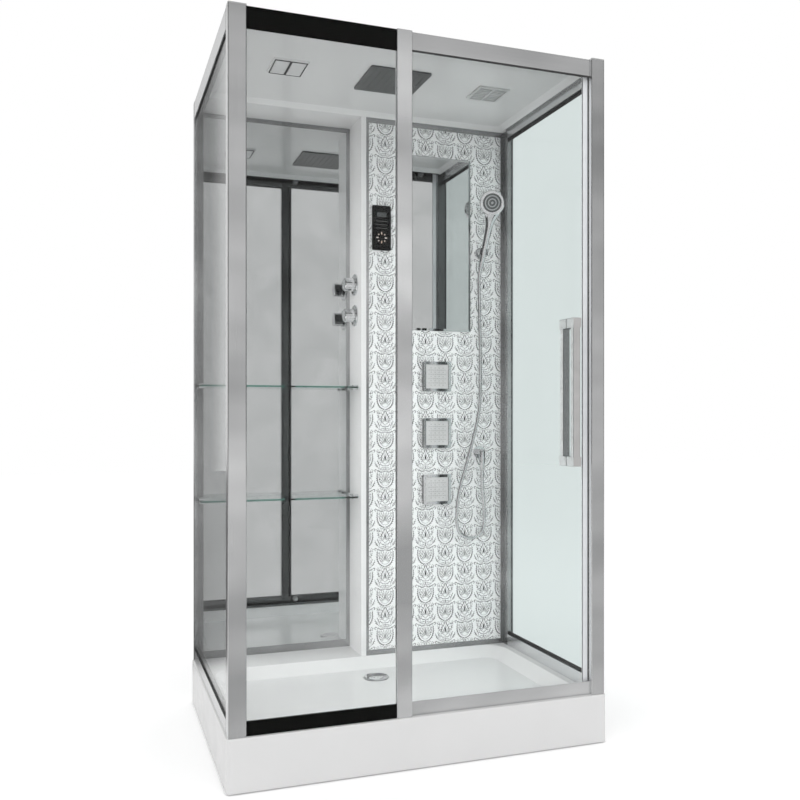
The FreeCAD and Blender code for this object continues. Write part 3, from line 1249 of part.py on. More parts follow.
def jet_pieces():
    """Square jets: bezel and nozzle face on the glass, body and nut behind it."""
    bezels = []
    faces = []
    bodies = []
    opening = JET_SIDE - 2 * JET_BEZEL_WIDTH
    for height in JET_HEIGHTS:
        bezel = block(around(JET_X, JET_SIDE), (PANEL_FACE - JET_BEZEL, PANEL_FACE), around(height, JET_SIDE))
        bezel = soften(bezel, JET_ROUND, Y_AXIS)
        window_y = grow((PANEL_FACE - JET_BEZEL, PANEL_FACE), CUT)
        bezels.append(bezel.cut(block(around(JET_X, opening), window_y, around(height, opening))))
        face_front = PANEL_FACE - JET_BEZEL + JET_FACE_SET
        face = block(around(JET_X, opening), (face_front, PANEL_FACE), around(height, opening))

        def place(across, along):
            return Vector(JET_X + across, face_front, height + along), -Y_AXIS

        faces.append(fuse([face] + nozzle_grid(JET_NOZZLES, opening, JET_NOZZLE_MARGIN, place)))
        stem = rod(Vector(JET_X, PANEL_FACE, height), Y_AXIS, JET_BODY_RADIUS, GLASS + JET_BODY)
        nut = rod(Vector(JET_X, PANEL_BACK, height), Y_AXIS, JET_NUT_RADIUS, JET_NUT)
        bodies.append(fuse([stem, nut]))
    return bezels, faces, bodies


# Handset, hose and outlet

def neck_section(along, half_width, half_depth):
    """Closed oval across the handset, at a distance from the grip's end."""
    centre = GRIP_END + GRIP_LEAN * along
    across = GRIP_LEAN.cross(SHOWER_HEAD_FACING).normalize()
    deep = across.cross(GRIP_LEAN)
    points = []
    for index in range(NECK_POINTS):
        angle = 2 * math.pi * index / NECK_POINTS
        sideways = across * (half_width * math.cos(angle))
        points.append(centre + sideways + deep * (half_depth * math.sin(angle)))
    oval = Part.BSplineCurve()
    oval.interpolate(points, PeriodicFlag=True)
    return Part.Wire([oval.toShape()])


def handset():
    """Tapered grip with a neck that widens into a round head, and the hose nut under the grip."""
    grip = Part.makeCone(GRIP_BOTTOM_RADIUS, GRIP_TOP_RADIUS, GRIP_LENGTH, GRIP_END, GRIP_LEAN)
    neck = Part.makeLoft([neck_section(*station) for station in NECK_STATIONS], True, False)
    back = -SHOWER_HEAD_FACING
    head = turned([
        (0, 0),
        (SHOWER_HEAD_RADIUS - SHOWER_HEAD_EDGE, 0),
        (SHOWER_HEAD_RADIUS, SHOWER_HEAD_EDGE),
        (SHOWER_HEAD_RADIUS, SHOWER_HEAD_RIM),
        (SHOWER_HEAD_CROWN_RADIUS, SHOWER_HEAD_RIM + SHOWER_HEAD_BACK),
        (0, SHOWER_HEAD_RIM + SHOWER_HEAD_BACK),
    ], SHOWER_HEAD_CENTRE, back)
    recess_start = SHOWER_HEAD_CENTRE + back * SPRAY_RECESS
    recess = rod(recess_start, SHOWER_HEAD_FACING, SPRAY_RADIUS + FIT, SHOWER_HEAD_FORWARD)
    body = fuse([grip, neck, head]).cut(recess)
    nut_start = GRIP_END - GRIP_LEAN * HOSE_NUT
    nut = Part.makeCone(HOSE_NUT_TIP_RADIUS, HOSE_NUT_RADIUS, HOSE_NUT, nut_start, GRIP_LEAN)
    return [body, nut]


def handset_face():
    """Spray face with rings of nozzles."""
    start = SHOWER_HEAD_CENTRE - SHOWER_HEAD_FACING * SPRAY_RECESS
    disc = rod(start, SHOWER_HEAD_FACING, SPRAY_RADIUS, SPRAY_RECESS + SPRAY_PROUD)
    surface = SHOWER_HEAD_CENTRE + SHOWER_HEAD_FACING * SPRAY_PROUD
    turn = FreeCAD.Rotation(Z_AXIS, SHOWER_HEAD_FACING)
    nozzles = []
    for ring in range(1, SPRAY_RINGS):
        count = SPRAY_RING_COUNT * ring
        for index in range(count):
            angle = 2 * math.pi * index / count
            radius = SPRAY_STEP * ring
            spot = turn.multVec(Vector(radius * math.cos(angle), radius * math.sin(angle), 0))
            nozzles.append(nozzle(surface + spot, SHOWER_HEAD_FACING))
    return fuse([disc] + nozzles)


def handset_holder():
    """Tapered cup, open in front for the hose, on an arm from the panel."""
    low = GRIP_END + GRIP_LEAN * HOLDER_LOW
    height = HOLDER_HIGH - HOLDER_LOW
    cup = rod(low, GRIP_LEAN, GRIP_TOP_RADIUS + HOLDER_WALL, height)
    middle = low + GRIP_LEAN * (height / 2)
    arm_length = PANEL_FACE - middle.y
    arm = rod(middle, Y_AXIS, HOLDER_ARM_RADIUS, arm_length)
    base_start = Vector(middle.x, PANEL_FACE - HOLDER_BASE, middle.z)
    base = rod(base_start, Y_AXIS, HOLDER_BASE_RADIUS, HOLDER_BASE)
    bore = Part.makeCone(GRIP_BOTTOM_RADIUS + FIT, GRIP_TOP_RADIUS + FIT, GRIP_LENGTH, GRIP_END, GRIP_LEAN)
    slot_y = (middle.y - GRIP_TOP_RADIUS - HOLDER_WALL - height, middle.y)
    slot = block(around(middle.x, HOLDER_SLOT), slot_y, around(middle.z, 3 * height))
    return fuse([cup, arm, base]).cut(bore).cut(slot)


def outlet_elbow():
    """Elbow on a rose with its stem through the glass, and the hose nut below it."""
    turn = Vector(ELBOW_X, ELBOW_Y, ELBOW_HEIGHT)
    neck = rod(turn, Y_AXIS, ELBOW_RADIUS, ELBOW_REACH)
    drop = rod(turn - Z_AXIS * ELBOW_DROP, Z_AXIS, ELBOW_RADIUS, ELBOW_DROP)
    knee = Part.makeSphere(ELBOW_RADIUS, turn)
    rose_start = Vector(ELBOW_X, PANEL_FACE - ELBOW_ROSE, ELBOW_HEIGHT)
    rose = rod(rose_start, Y_AXIS, ELBOW_ROSE_RADIUS, ELBOW_ROSE)
    stem = rod(rose_start, Y_AXIS, ELBOW_STEM_RADIUS, ELBOW_ROSE + GLASS)
    nut_start = turn - Z_AXIS * (ELBOW_DROP + OUTLET_NUT)
    nut = Part.makeCone(HOSE_NUT_TIP_RADIUS, HOSE_NUT_RADIUS, OUTLET_NUT, nut_start, Z_AXIS)
    return [fuse([neck, drop, knee, rose, stem]), nut]


def shower_hose():
    """Hose from the handset's nut down to its loop and up to the outlet's nut."""
    points = [Vector(*point) for point in HOSE_ROUTE]
    radii = []
    for before, corner, after in zip(points, points[1:], points[2:]):
        half_turn = (corner - before).getAngle(after - corner) / 2
        shorter = min((corner - before).Length, (after - corner).Length)
        radii.append(HOSE_BEND_SHARE * shorter / math.tan(half_turn))
    path = bent_path(points, radii)
    hose = swept(path, HOSE_RADIUS, points[1] - points[0])
    print("hose radii", [round(radius) for radius in radii])
    expected = math.pi * HOSE_RADIUS ** 2 * path.Length
    print("hose length", round(path.Length, 1), "volume share", round(hose.Volume / expected, 4))
    return hose


# Valves and pipes

def valve_body():
    """Mixer and diverter bodies on one bridge, with spindles, and two threaded inlets at the back."""
    pieces = []
    inlets = []
    for height in (MIXER_HEIGHT, DIVERTER_HEIGHT):
        pieces.append(rod(Vector(VALVE_X, VALVE_Y, height), X_AXIS, VALVE_RADIUS, VALVE_LENGTH))
        spindle_start = COLUMN_LEFT - ROSE_THICKNESS - KNOB_SOCKET
        spindle_length = VALVE_X - spindle_start + ROSE_THICKNESS
        pieces.append(rod(Vector(spindle_start, VALVE_Y, height), X_AXIS, SPINDLE_RADIUS, spindle_length))
    middle = VALVE_X + VALVE_LENGTH / 2
    bridge_length = MIXER_HEIGHT - DIVERTER_HEIGHT
    pieces.append(rod(Vector(middle, VALVE_Y, DIVERTER_HEIGHT), Z_AXIS, VALVE_BRIDGE_RADIUS, bridge_length))
    for offset in INLET_FROM_WALL:
        start = Vector(VALVE_X + offset, VALVE_Y, MIXER_HEIGHT)
        pieces.append(rod(start, Y_AXIS, INLET_RADIUS, INLET_REACH))
        shoulder_reach = VALVE_RADIUS + INLET_SHOULDER_REACH
        pieces.append(rod(start, Y_AXIS, INLET_RADIUS + INLET_SHOULDER, shoulder_reach))
        inlets.append(rod(start + Y_AXIS * VALVE_RADIUS, Y_AXIS, INLET_BORE_RADIUS, INLET_REACH))
    body = fuse(pieces)
    for inlet in inlets:
        body = body.cut(inlet)
    return body


def valve_roses():
    """Round escutcheons on the column's return."""
    roses = []
    for height in (MIXER_HEIGHT, DIVERTER_HEIGHT):
        roses.append(turned([
            (SPINDLE_RADIUS + FIT, 0),
            (ROSE_RADIUS, 0),
            (ROSE_RADIUS, ROSE_THICKNESS - ROSE_STEP),
            (ROSE_RADIUS - ROSE_STEP, ROSE_THICKNESS),
            (SPINDLE_RADIUS + FIT, ROSE_THICKNESS),
        ], Vector(COLUMN_LEFT, VALVE_Y, height), -X_AXIS))
    return roses


def valve_knob(height):
    """Fluted knob with a socket for its spindle."""
    start = Vector(COLUMN_LEFT - ROSE_THICKNESS - FIT, VALVE_Y, height)
    bore = SPINDLE_RADIUS + RUNNING_FIT
    knob = turned([
        (bore, 0),
        (KNOB_RADIUS, 0),
        (KNOB_RADIUS, KNOB_LENGTH - KNOB_CROWN),
        (KNOB_RADIUS - KNOB_CROWN, KNOB_LENGTH),
        (0, KNOB_LENGTH),
        (0, KNOB_SOCKET),
        (bore, KNOB_SOCKET),
    ], start, -X_AXIS)
    flute_circle = KNOB_RADIUS + KNOB_FLUTE_RADIUS - KNOB_FLUTE_DEPTH
    for index in range(KNOB_FLUTES):
        angle = 2 * math.pi * index / KNOB_FLUTES
        offset = Vector(CUT, flute_circle * math.cos(angle), flute_circle * math.sin(angle))
        flute = rod(start + offset, -X_AXIS, KNOB_FLUTE_RADIUS, KNOB_LENGTH + 2 * CUT)
        knob = knob.cut(flute)
    return knob


def supply_pipes():
    """Pipes from the diverter to the jets, over the roof to the rain head, and to the outlet."""
    jet_line = pipe([
        Vector(VALVE_END, VALVE_Y, DIVERTER_HEIGHT - PIPE_END_OFFSET),
        Vector(JET_X, VALVE_Y, DIVERTER_HEIGHT - PIPE_END_OFFSET),
        Vector(JET_X, VALVE_Y, JET_HEIGHTS[-1] - JET_PIPE_RADIUS),
    ], JET_PIPE_RADIUS, PIPE_BEND)
    stubs = []
    for height in JET_HEIGHTS:
        stub_start = Vector(JET_X, JET_BODY_BACK, height)
        stubs.append(rod(stub_start, Y_AXIS, JET_PIPE_RADIUS - FIT, VALVE_Y - JET_BODY_BACK))
    rain_start = DIVERTER_HEIGHT + PIPE_END_OFFSET
    riser_x = VALVE_END + RISER_FROM_VALVE
    over = CEILING_TOP + ROOF_PIPE_LIFT
    rain_line = pipe([
        Vector(VALVE_END, VALVE_Y, rain_start),
        Vector(riser_x, VALVE_Y, rain_start),
        Vector(riser_x, VALVE_Y, over),
        Vector(riser_x, FITTING_Y, over),
        Vector(HEAD_STEM_RADIUS + FIT, FITTING_Y, over),
    ], PIPE_RADIUS, PIPE_BEND)
    side = VALVE_Y - VALVE_RADIUS - FIT
    forward = side - PIPE_FORWARD
    pipe_x = VALVE_X + VALVE_LENGTH * OUTLET_PORT_SHARE
    across = DIVERTER_HEIGHT - CROSS_PIPE_DROP
    outlet_line = pipe([
        Vector(pipe_x, side, DIVERTER_HEIGHT),
        Vector(pipe_x, forward, DIVERTER_HEIGHT),
        Vector(pipe_x, forward, across),
        Vector(ELBOW_X, forward, across),
        Vector(ELBOW_X, forward, ELBOW_HEIGHT),
        Vector(ELBOW_X, PANEL_BACK, ELBOW_HEIGHT),
    ], PIPE_RADIUS, OUTLET_PIPE_BEND)
    return [fuse([jet_line] + stubs), rain_line, outlet_line]


# Niche

def niche_frame():
    """Aluminium frame of the full-height mirror."""
    x = (LEFT_BAR_FACE, COLUMN_LEFT)
    y = (NICHE_FACE, FRAME_BACK)
    z = (RIM_HEIGHT, ROOF_SEAT)
    frame = block(x, y, z)
    opening_z = (RIM_HEIGHT + NICHE_FRAME_BOTTOM, ROOF_SEAT - NICHE_FRAME_TOP)
    frame = frame.cut(block(grow(x, -NICHE_FRAME_SIDE), grow(y, CUT), opening_z))
    return frame.cut(niche_mirror())


def niche_mirror():
    """Full-height mirror, let into its frame."""
    x = grow((LEFT_BAR_FACE, COLUMN_LEFT), NICHE_MIRROR_GRIP - NICHE_FRAME_SIDE)
    low = RIM_HEIGHT + NICHE_FRAME_BOTTOM - NICHE_MIRROR_GRIP
    high = ROOF_SEAT - NICHE_FRAME_TOP + NICHE_MIRROR_GRIP
    front = NICHE_FACE + NICHE_MIRROR_SET
    return block(x, (front, front + GLASS), (low, high))


def shelf(height):
    """Glass shelf with round front corners, notched round the back left post."""
    x = (LEFT_PANE[1] + SHELF_END_GAP, COLUMN_LEFT - SHELF_END_GAP)
    y = (COLUMN_FRONT + SHELF_FRONT_SET, NICHE_FACE - FIT)
    z = (height, height + SHELF_THICKNESS)
    glass = block(x, y, z)
    front = [edge for edge in glass.Edges if edge.BoundBox.ZLength > FIT and edge.BoundBox.YMax < y[1] - FIT]
    glass = glass.makeFillet(SHELF_ROUND, front)
    notch_x = (x[0] - CUT, LEFT_BAR_FACE + FIT)
    return glass.cut(block(notch_x, (BACK_LEFT_POST_FRONT - FIT, y[1] + CUT), grow(z, CUT)))


def shelf_clips():
    """Clips that grip each shelf's ends, on the left pane and on the column's return."""
    clips = []
    walls = [(LEFT_PANE[1], LEFT_PANE[1] + CLIP_LENGTH), (COLUMN_LEFT - CLIP_LENGTH, COLUMN_LEFT)]
    for height in SHELF_HEIGHTS:
        glass = shelf(height)
        for x in walls:
            for offset in CLIP_FROM_FRONT:
                y = around(COLUMN_FRONT + SHELF_FRONT_SET + offset, CLIP_WIDTH)
                clip = block(x, y, around(height + SHELF_THICKNESS / 2, CLIP_HEIGHT))
                clips.append(soften(clip, CLIP_ROUND, X_AXIS).cut(glass))
    return clips


def build():
    """Write every sub-part."""
    os.makedirs("parts", exist_ok=True)
    save("tray", tray())
    save("tray_frame", tray_frame())
    save("levelling_feet", levelling_feet())
    for name, piece in zip(("drain_body", "drain_gasket", "drain_flange", "drain_cover"), drain_pieces()):
        save(name, piece)
    post_names = ("post_front_left", "post_front_right", "post_middle", "post_back_left", "post_back_right")
    for name, piece in zip(post_names, posts()):
        save(name, piece)
    save("post_caps", post_caps())
    save("rail_front_top", rail_front_top())
    save("rail_front_bottom", rail_front_bottom())
    left_ledge = (LEFT_BAR_FACE, LEFT_BAR_FACE + ROOF_LEDGE)
    left_bar = (FRAME_LEFT, LEFT_BAR_FACE)
    save("rails_left", side_rails(left_bar, LEFT_PANE, left_ledge, BACK_LEFT_POST_FRONT))
    right_ledge = (RIGHT_BAR_FACE - ROOF_LEDGE, RIGHT_BAR_FACE)
    right_bar = (RIGHT_BAR_FACE, FRAME_RIGHT)
    save("rails_right", side_rails(right_bar, RIGHT_PANE, right_ledge, BACK_RIGHT_POST_FRONT))
    save("side_glass", side_panes())
    pane, bands = fixed_pane()
    save("glass_front_fixed", pane)
    save("glass_bands", bands)
    save("frame_seals", frame_seals())
    save("door_glass", door_pane())
    save("door_magnet_seal", door_seal())
    save("door_handles", door_handles())
    for name, (x, z) in roller_centres().items():
        save(name, roller(x, z))
    save("roller_axles", roller_axles())
    save("roof_shell", roof_shell())
    save("rain_head", rain_head())
    lamp, diffusers = lamp_pieces()
    save("lamp_body", lamp)
    save("lamp_diffusers", diffusers)
    save("vent_grille", vent_grille())
    housing, rotor = fan_pieces()
    save("fan_housing", housing)
    save("fan_rotor", rotor)
    save("column_shell", column_shell())
    save("panel_frame", panel_frame())
    save("panel_glass", panel_glass())
    save("panel_mirror", panel_mirror())
    plate, box = control_pieces()
    save("control_panel", plate)
    save("control_box", box)
    for name, pieces in zip(("jet_bezels", "jet_faces", "jet_bodies"), jet_pieces()):
        save(name, pieces)
    save("handset", handset())
    save("handset_face", handset_face())
    save("handset_holder", handset_holder())
    save("outlet_elbow", outlet_elbow())
    save("shower_hose", shower_hose())
    save("valve_body", valve_body())
    save("valve_roses", valve_roses())
    save("mixer_knob", valve_knob(MIXER_HEIGHT))
    save("diverter_knob", valve_knob(DIVERTER_HEIGHT))
    save("supply_pipes", supply_pipes())
    save("niche_mirror", niche_mirror())
    save("niche_frame", niche_frame())
    save("glass_shelves", [shelf(height) for height in SHELF_HEIGHTS])
    save("shelf_clips", shelf_clips())


build()
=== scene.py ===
import math

import bmesh
import bpy
from mathutils import Matrix, Vector


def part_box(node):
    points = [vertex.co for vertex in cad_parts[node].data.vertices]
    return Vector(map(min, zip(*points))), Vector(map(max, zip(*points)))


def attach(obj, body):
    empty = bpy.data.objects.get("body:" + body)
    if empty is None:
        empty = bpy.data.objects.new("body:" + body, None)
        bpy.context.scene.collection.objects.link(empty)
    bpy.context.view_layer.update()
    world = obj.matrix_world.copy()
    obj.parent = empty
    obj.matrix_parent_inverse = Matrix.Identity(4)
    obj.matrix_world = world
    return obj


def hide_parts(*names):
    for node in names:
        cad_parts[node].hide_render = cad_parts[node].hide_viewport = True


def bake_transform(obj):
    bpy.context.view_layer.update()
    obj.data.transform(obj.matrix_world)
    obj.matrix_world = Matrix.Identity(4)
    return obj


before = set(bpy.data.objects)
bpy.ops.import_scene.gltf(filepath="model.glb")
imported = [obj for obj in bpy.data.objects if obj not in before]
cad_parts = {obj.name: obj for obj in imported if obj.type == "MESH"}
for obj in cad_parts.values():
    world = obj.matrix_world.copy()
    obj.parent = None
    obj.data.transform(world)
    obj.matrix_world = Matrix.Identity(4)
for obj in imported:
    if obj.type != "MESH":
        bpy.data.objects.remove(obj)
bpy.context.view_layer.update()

# Camera of the photograph: level, turned to the right, with a small rise of the frame.
CAMERA_PLACE = (-0.9486, -2.8258, 1.0367)
CAMERA_TURN = math.radians(-19.466)
CAMERA_LENS = 39.414
CAMERA_SENSOR = 36.0
CAMERA_RISE = 0.0206

# Shower hose, from the handset's nut down to the loop and up into the wall outlet.
HOSE_ROUTE = (
    (0.463330, 0.242737, 1.607730),
    (0.459644, 0.251351, 1.574215),
    (0.460120, 0.250837, 1.539422),
    (0.4660, 0.2445, 1.1100),
    (0.4460, 0.2425, 1.0000),
    (0.4120, 0.2425, 0.8800),
    (0.3770, 0.2425, 0.7700),
    (0.3630, 0.2425, 0.6900),
    (0.3645, 0.2425, 0.6064),
    (0.3979, 0.2425, 0.5730),
    (0.4451, 0.2425, 0.5730),
    (0.4785, 0.2425, 0.6064),
    (0.4780, 0.2415, 0.6900),
    (0.4660, 0.2355, 0.7750),
    (0.4660, 0.2355, 0.8380),
)
HOSE_DIAMETER = 0.013
HOSE_STEP = 0.0008
HOSE_RIB_STEPS = 4
HOSE_GROOVE_SHARE = 0.965
HOSE_LINE_STEPS = 48
HOSE_ROUND_STEPS = 4
CURVE_ORDER = 3

# Printed ornament of the back panel.
PANEL_FACE = 0.2665
PRINT_GAP = 0.0001
PRINT_THICKNESS = 0.00012
PRINT_STEP = 0.000002
PRINT_COLUMN_FIRST = 0.085
PRINT_COLUMN_PITCH = 0.0805
PRINT_COLUMN_GROUPS = ((-1, 0), (1, 2), (3, 4), (5, 6))
PRINT_ROW_FIRST = 0.4787
PRINT_ROW_PITCH = 0.146
PRINT_ROWS = range(-3, 13)
PRINT_FIELD = (0.0215, 0.5585, 0.1735, 2.1225)
PRINT_WINDOW_MARGIN = 0.001
MM = 0.001

# Half of the sprig, right of its axis: points across and up, and widths, in millimetres.
SPRIG_STROKES = (
    (((0, 0), (10, 2), (22, 10), (30, 26), (31, 46), (29, 64)), (1.2, 2.0, 2.2, 2.0, 1.6, 1.0)),
    (((0, 8), (8, 9), (17, 17), (23, 32), (23, 56)), (0.7, 1.1, 1.2, 1.0, 0.5)),
    (((0, 62), (11, 58), (20, 59), (31, 66)), (1.2, 2.0, 2.0, 1.0)),
    (((0, 70), (9, 67), (18, 68), (26, 74)), (0.8, 1.3, 1.3, 0.7)),
    (((29, 64), (36, 71), (41, 67), (39, 59), (34, 61)), (1.0, 2.2, 2.4, 1.8, 0.7)),
    (((25, 72), (28, 79), (36, 84), (39, 97)), (0.8, 1.5, 1.4, 0.5)),
    (((22, 75), (21, 84), (26, 93), (31, 101), (27, 106)), (0.7, 1.5, 1.5, 1.3, 0.7)),
    (((0, 144), (3, 132), (12, 122), (16, 109), (12, 96), (0, 88)), (0.7, 1.6, 2.0, 2.0, 1.8, 1.0)),
    (((0, 84), (8, 81), (15, 85), (19, 93)), (1.0, 2.2, 1.8, 0.5)),
    (((0, 78), (8, 74), (14, 77), (18, 72)), (0.7, 1.3, 1.2, 0.5)),
    (((17, 106), (25, 112), (28, 122), (23, 129)), (0.7, 1.5, 1.4, 0.5)),
    (((10, 127), (19, 133), (28, 132), (37, 140)), (0.7, 1.5, 1.4, 0.5)),
)
SPRIG_AXIS_STROKES = (
    (((0, 22), (0, 36), (0, 55)), (0.5, 4.0, 0.5)),
    (((0, 66), (0, 72), (0, 82)), (0.5, 4.4, 0.5)),
    (((0, 100), (0, 112), (0, 130)), (0.5, 4.4, 0.5)),
)
# Petals of the same half: foot across and up, length, turn in degrees and width.
SPRIG_PETALS = (
    # Fan in the cup.
    (3, 21, 30, 79, 3.6), (5, 20, 27, 64, 3.6), (7, 18, 23, 48, 3.6), (9, 16, 17, 32, 3.2),
    (10, 38, 14, 76, 2.8), (16, 35, 13, 66, 2.8), (20, 30, 10, 62, 2.6), (6, 48, 10, 82, 2.6),
    (14, 48, 9, 76, 2.4), (20, 46, 9, 80, 2.4),
    # Lobes round the cup.
    (4, 0, 8, -22, 3.4), (10, 3, 9, -8, 3.6), (16, 6, 9, 8, 3.8), (22, 11, 9, 22, 3.8),
    (26, 17, 9, 36, 3.8), (29, 24, 9, 46, 3.8), (31, 32, 9, 56, 3.8), (31, 40, 8, 64, 3.6),
    (31, 48, 8, 70, 3.4), (27, 47, 7, 114, 2.6), (27, 38, 7, 116, 2.6), (25, 29, 7, 112, 2.6),
    # Crown over the brim.
    (4, 62, 6, 82, 2.6), (9, 60, 6, 76, 2.6), (14, 59, 6, 68, 2.6), (19, 60, 6, 58, 2.6),
    (24, 63, 6, 48, 2.6), (6, 71, 5, 60, 2.2), (12, 69, 5, 50, 2.2), (18, 71, 5, 40, 2.2),
    # Fan in the bud and lobes round it.
    (2, 102, 23, 80, 3.4), (4, 100, 18, 62, 3.2), (5, 98, 11, 42, 2.8), (12, 96, 8, -4, 3.4),
    (15, 102, 8, 18, 3.6), (16, 110, 8, 40, 3.6), (14, 117, 8, 60, 3.4), (10, 124, 8, 74, 3.4),
    (5, 131, 8, 80, 3.0), (3, 137, 7, 64, 2.8),
    # Lobes of the rising leaves.
    (28, 78, 7, 8, 3.2), (32, 81, 8, 20, 3.4), (36, 87, 8, 40, 3.4), (38, 93, 7, 62, 3.2),
    (34, 84, 7, 84, 3.0), (29, 81, 7, 96, 2.8), (22, 86, 7, 130, 3.0), (26, 94, 7, 118, 3.0),
    (24, 89, 7, 28, 3.0), (28, 97, 7, 40, 3.0),
    # Lobes of the side leaves.
    (22, 109, 7, 4, 3.2), (26, 115, 7, 26, 3.4), (28, 121, 7, 50, 3.2), (26, 118, 7, 118, 2.8),
    (16, 132, 7, 84, 3.0), (23, 133, 7, 70, 3.2), (30, 134, 7, 66, 3.0), (20, 132, 7, -26, 3.0),
    (27, 132, 7, -20, 3.0),
    # Spray beside the tip.
    (8, 139, 8, 22, 2.8), (16, 141, 7, 40, 2.6), (25, 140, 7, 30, 2.6),
)
PETAL_BOW_SHARE = 0.14
PETAL_FOOT = 0.5
PETAL_TIP = 0.3
STROKE_CURVE_STEPS = 2
PETAL_CURVE_STEPS = 3

# Dark trims round the lamp's two windows.
LAMP_TRIM_WIDTH = 0.0035
LAMP_TRIM_HEIGHT = 0.0022
LAMP_DIVIDER = 0.008

# Spray tips between the moulded ones of the jets.
TIP_PITCH = 0.008125
TIPS_EACH_WAY = 4
TIP_FOOT = 0.0022
TIP_TOP = 0.0015
TIP_HEIGHT = 0.0012
TIP_SIDES = 6
JET_MOULDED_TIP = 0.0015

# Rings of the handset's spray face.
SPRAY_CENTRE = (0.4795, 0.1730, 1.8419)
SPRAY_RING_PITCH = 0.0115

# Marks printed on the touch panel.
KEY_COUNT = 8
KEY_CENTRE_SHARE = 0.28
KEY_RING = 0.0165
KEY_LONG = 0.0095
KEY_WIDE = 0.0034
KEY_SPOT = 0.0042
DISPLAY_WIDE = 0.036
DISPLAY_HIGH = 0.017
DISPLAY_BELOW_TOP = 0.034
LEGEND_WIDE = 0.044
LEGEND_HIGH = 0.0013
LEGENDS_BELOW_TOP = (0.058, 0.071, 0.084)
MARK_GAP = 0.0001
MARK_THICKNESS = 0.0003
MARK_ROUND = 0.0012
MARK_ROUND_SHARE = 1 / 2.2
MARK_ROUND_STEPS = 3

# Directions, for faces that look one way.
LEFTWARD = (-1.0, 0.0, 0.0)
RIGHTWARD = (1.0, 0.0, 0.0)
BACKWARD = (0.0, 1.0, 0.0)
UPWARD = (0.0, 0.0, 1.0)

# How streaks are drawn out: little along the bar, much across it.
UPRIGHT_STREAK = (330.0, 330.0, 3.0)
CROSSWISE_STREAK = (3.0, 330.0, 330.0)
INWARD_STREAK = (330.0, 3.0, 330.0)
# Slow lighter and darker stretches along a bar, painted as sheen.
SHEEN_BANDS = (0.9, 0.9, 2.3)

# Sockets of a Mix node: its mask, and the pair and the result for levels and for colours.
MIX_MASK = 0
MIX_LEVELS = (2, 3)
MIX_LEVEL = 0
MIX_COLOURS = (6, 7)
MIX_COLOUR = 2

# Glass: tints of the panes, the green of their edges, and how much they bend light.
TINTED = (0.785, 0.862, 0.852)
PALE = (0.94, 0.945, 0.945)
DOOR = (0.858, 0.863, 0.862)
CLEAR = (0.86, 0.865, 0.864)
SHELF = (0.82, 0.862, 0.856)
GLASS_EDGE = (0.42, 0.66, 0.6)
GLASS_SHINE = (0.25, 0.25, 0.25, 1.0)
FRONT_BEND = 1.45
SIDE_BEND = 1.1
# The left side pane is pale and the right one tinted.
SIDE_TINT_RISE = (-0.1, 0.1)

# The handles' inner half, from front to back, painted darker as shade and dark reflections.
HANDLE_INNER_SHADE_RISE = (-0.39, -0.383)

# Studio.
FLOOR_HALF = 14.0
CAMERA_REACH = 100.0
LIGHT_LEVEL = 0.86
LIGHT_THROUGH_GAIN = 3.25
FLOOR_BOUNCE = 0.4
VIEW_WHITE = 1.0
VIEW_FRONT = 0.95
VIEW_BEHIND = 0.14
VIEW_FLAG = 0.1
FLOOR_TONE = 0.88
FLOOR_LIFT = 0.2
WHITE = (1.0, 1.0, 1.0, 1.0)
SKY_SHARES = (0.8, 1.1)
SOFTBOX_PLACE = (-0.4, -0.8, 4.6)
SOFTBOX_AIM = (0.0, 0.0, 1.0)
SOFTBOX_SIZE = 3.0
SOFTBOX_POWER = 45.0
# Where mirrored rays meet each part of the surroundings, on the floor and in the world.
FLOOR_AHEAD = (-0.9, -0.5)
FLOOR_BEYOND = (0.6, 1.0)
BEHIND_EDGE = (0.125, 0.16)
FRONT_TO_BACK = (-0.45, 0.25)
SIDE_FLAG = (0.66, 0.78)
HIGH_BAND_START = (0.4, 0.46)
HIGH_BAND_END = (0.6, 0.66)
RISING = (0.0, 1.0)
FALLING = (1.0, 0.0)
# Between no bounce of a light path and its first one.
HALF_BOUNCE = 0.5


def camera():
    """Level camera at the photograph's place."""
    data = bpy.data.cameras.new("camera")
    data.sensor_width = CAMERA_SENSOR
    data.lens = CAMERA_LENS
    data.shift_y = CAMERA_RISE
    data.clip_end = CAMERA_REACH
    made = bpy.data.objects.new("camera", data)
    made.location = CAMERA_PLACE
    made.rotation_euler = (math.pi / 2, 0.0, CAMERA_TURN)
    bpy.context.scene.collection.objects.link(made)
    bpy.context.scene.camera = made


def mesh_of_curve(curve, name):
    """Mesh that a curve evaluates to; the curve itself is removed."""
    holder = bpy.data.objects.new(name + ".line", curve)
    bpy.context.scene.collection.objects.link(holder)
    bpy.context.view_layer.update()
    ready = holder.evaluated_get(bpy.context.evaluated_depsgraph_get())
    mesh = bpy.data.meshes.new_from_object(ready)
    mesh.name = name
    bpy.data.objects.remove(holder)
    return mesh


def place_piece(name, mesh, material):
    """New object at the origin for a finished mesh."""
    piece = bpy.data.objects.new(name, mesh)
    bpy.context.scene.collection.objects.link(piece)
    mesh.materials.clear()
    mesh.materials.append(material)
    return piece


def cabin_piece(name, form, material):
    """New piece from a finished form, riding on the cabin."""
    mesh = bpy.data.meshes.new(name)
    form.to_mesh(mesh)
    form.free()
    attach(place_piece(name, mesh, material), "cabin")


def even_points(points, step):
    """Points at an even step along a line of close points."""
    evened = [points[0]]
    left = step
    for start, end in zip(points, points[1:]):
        run = (end - start).length
        while left <= run:
            evened.append(start.lerp(end, left / run))
            left += step
        left -= run
    return evened


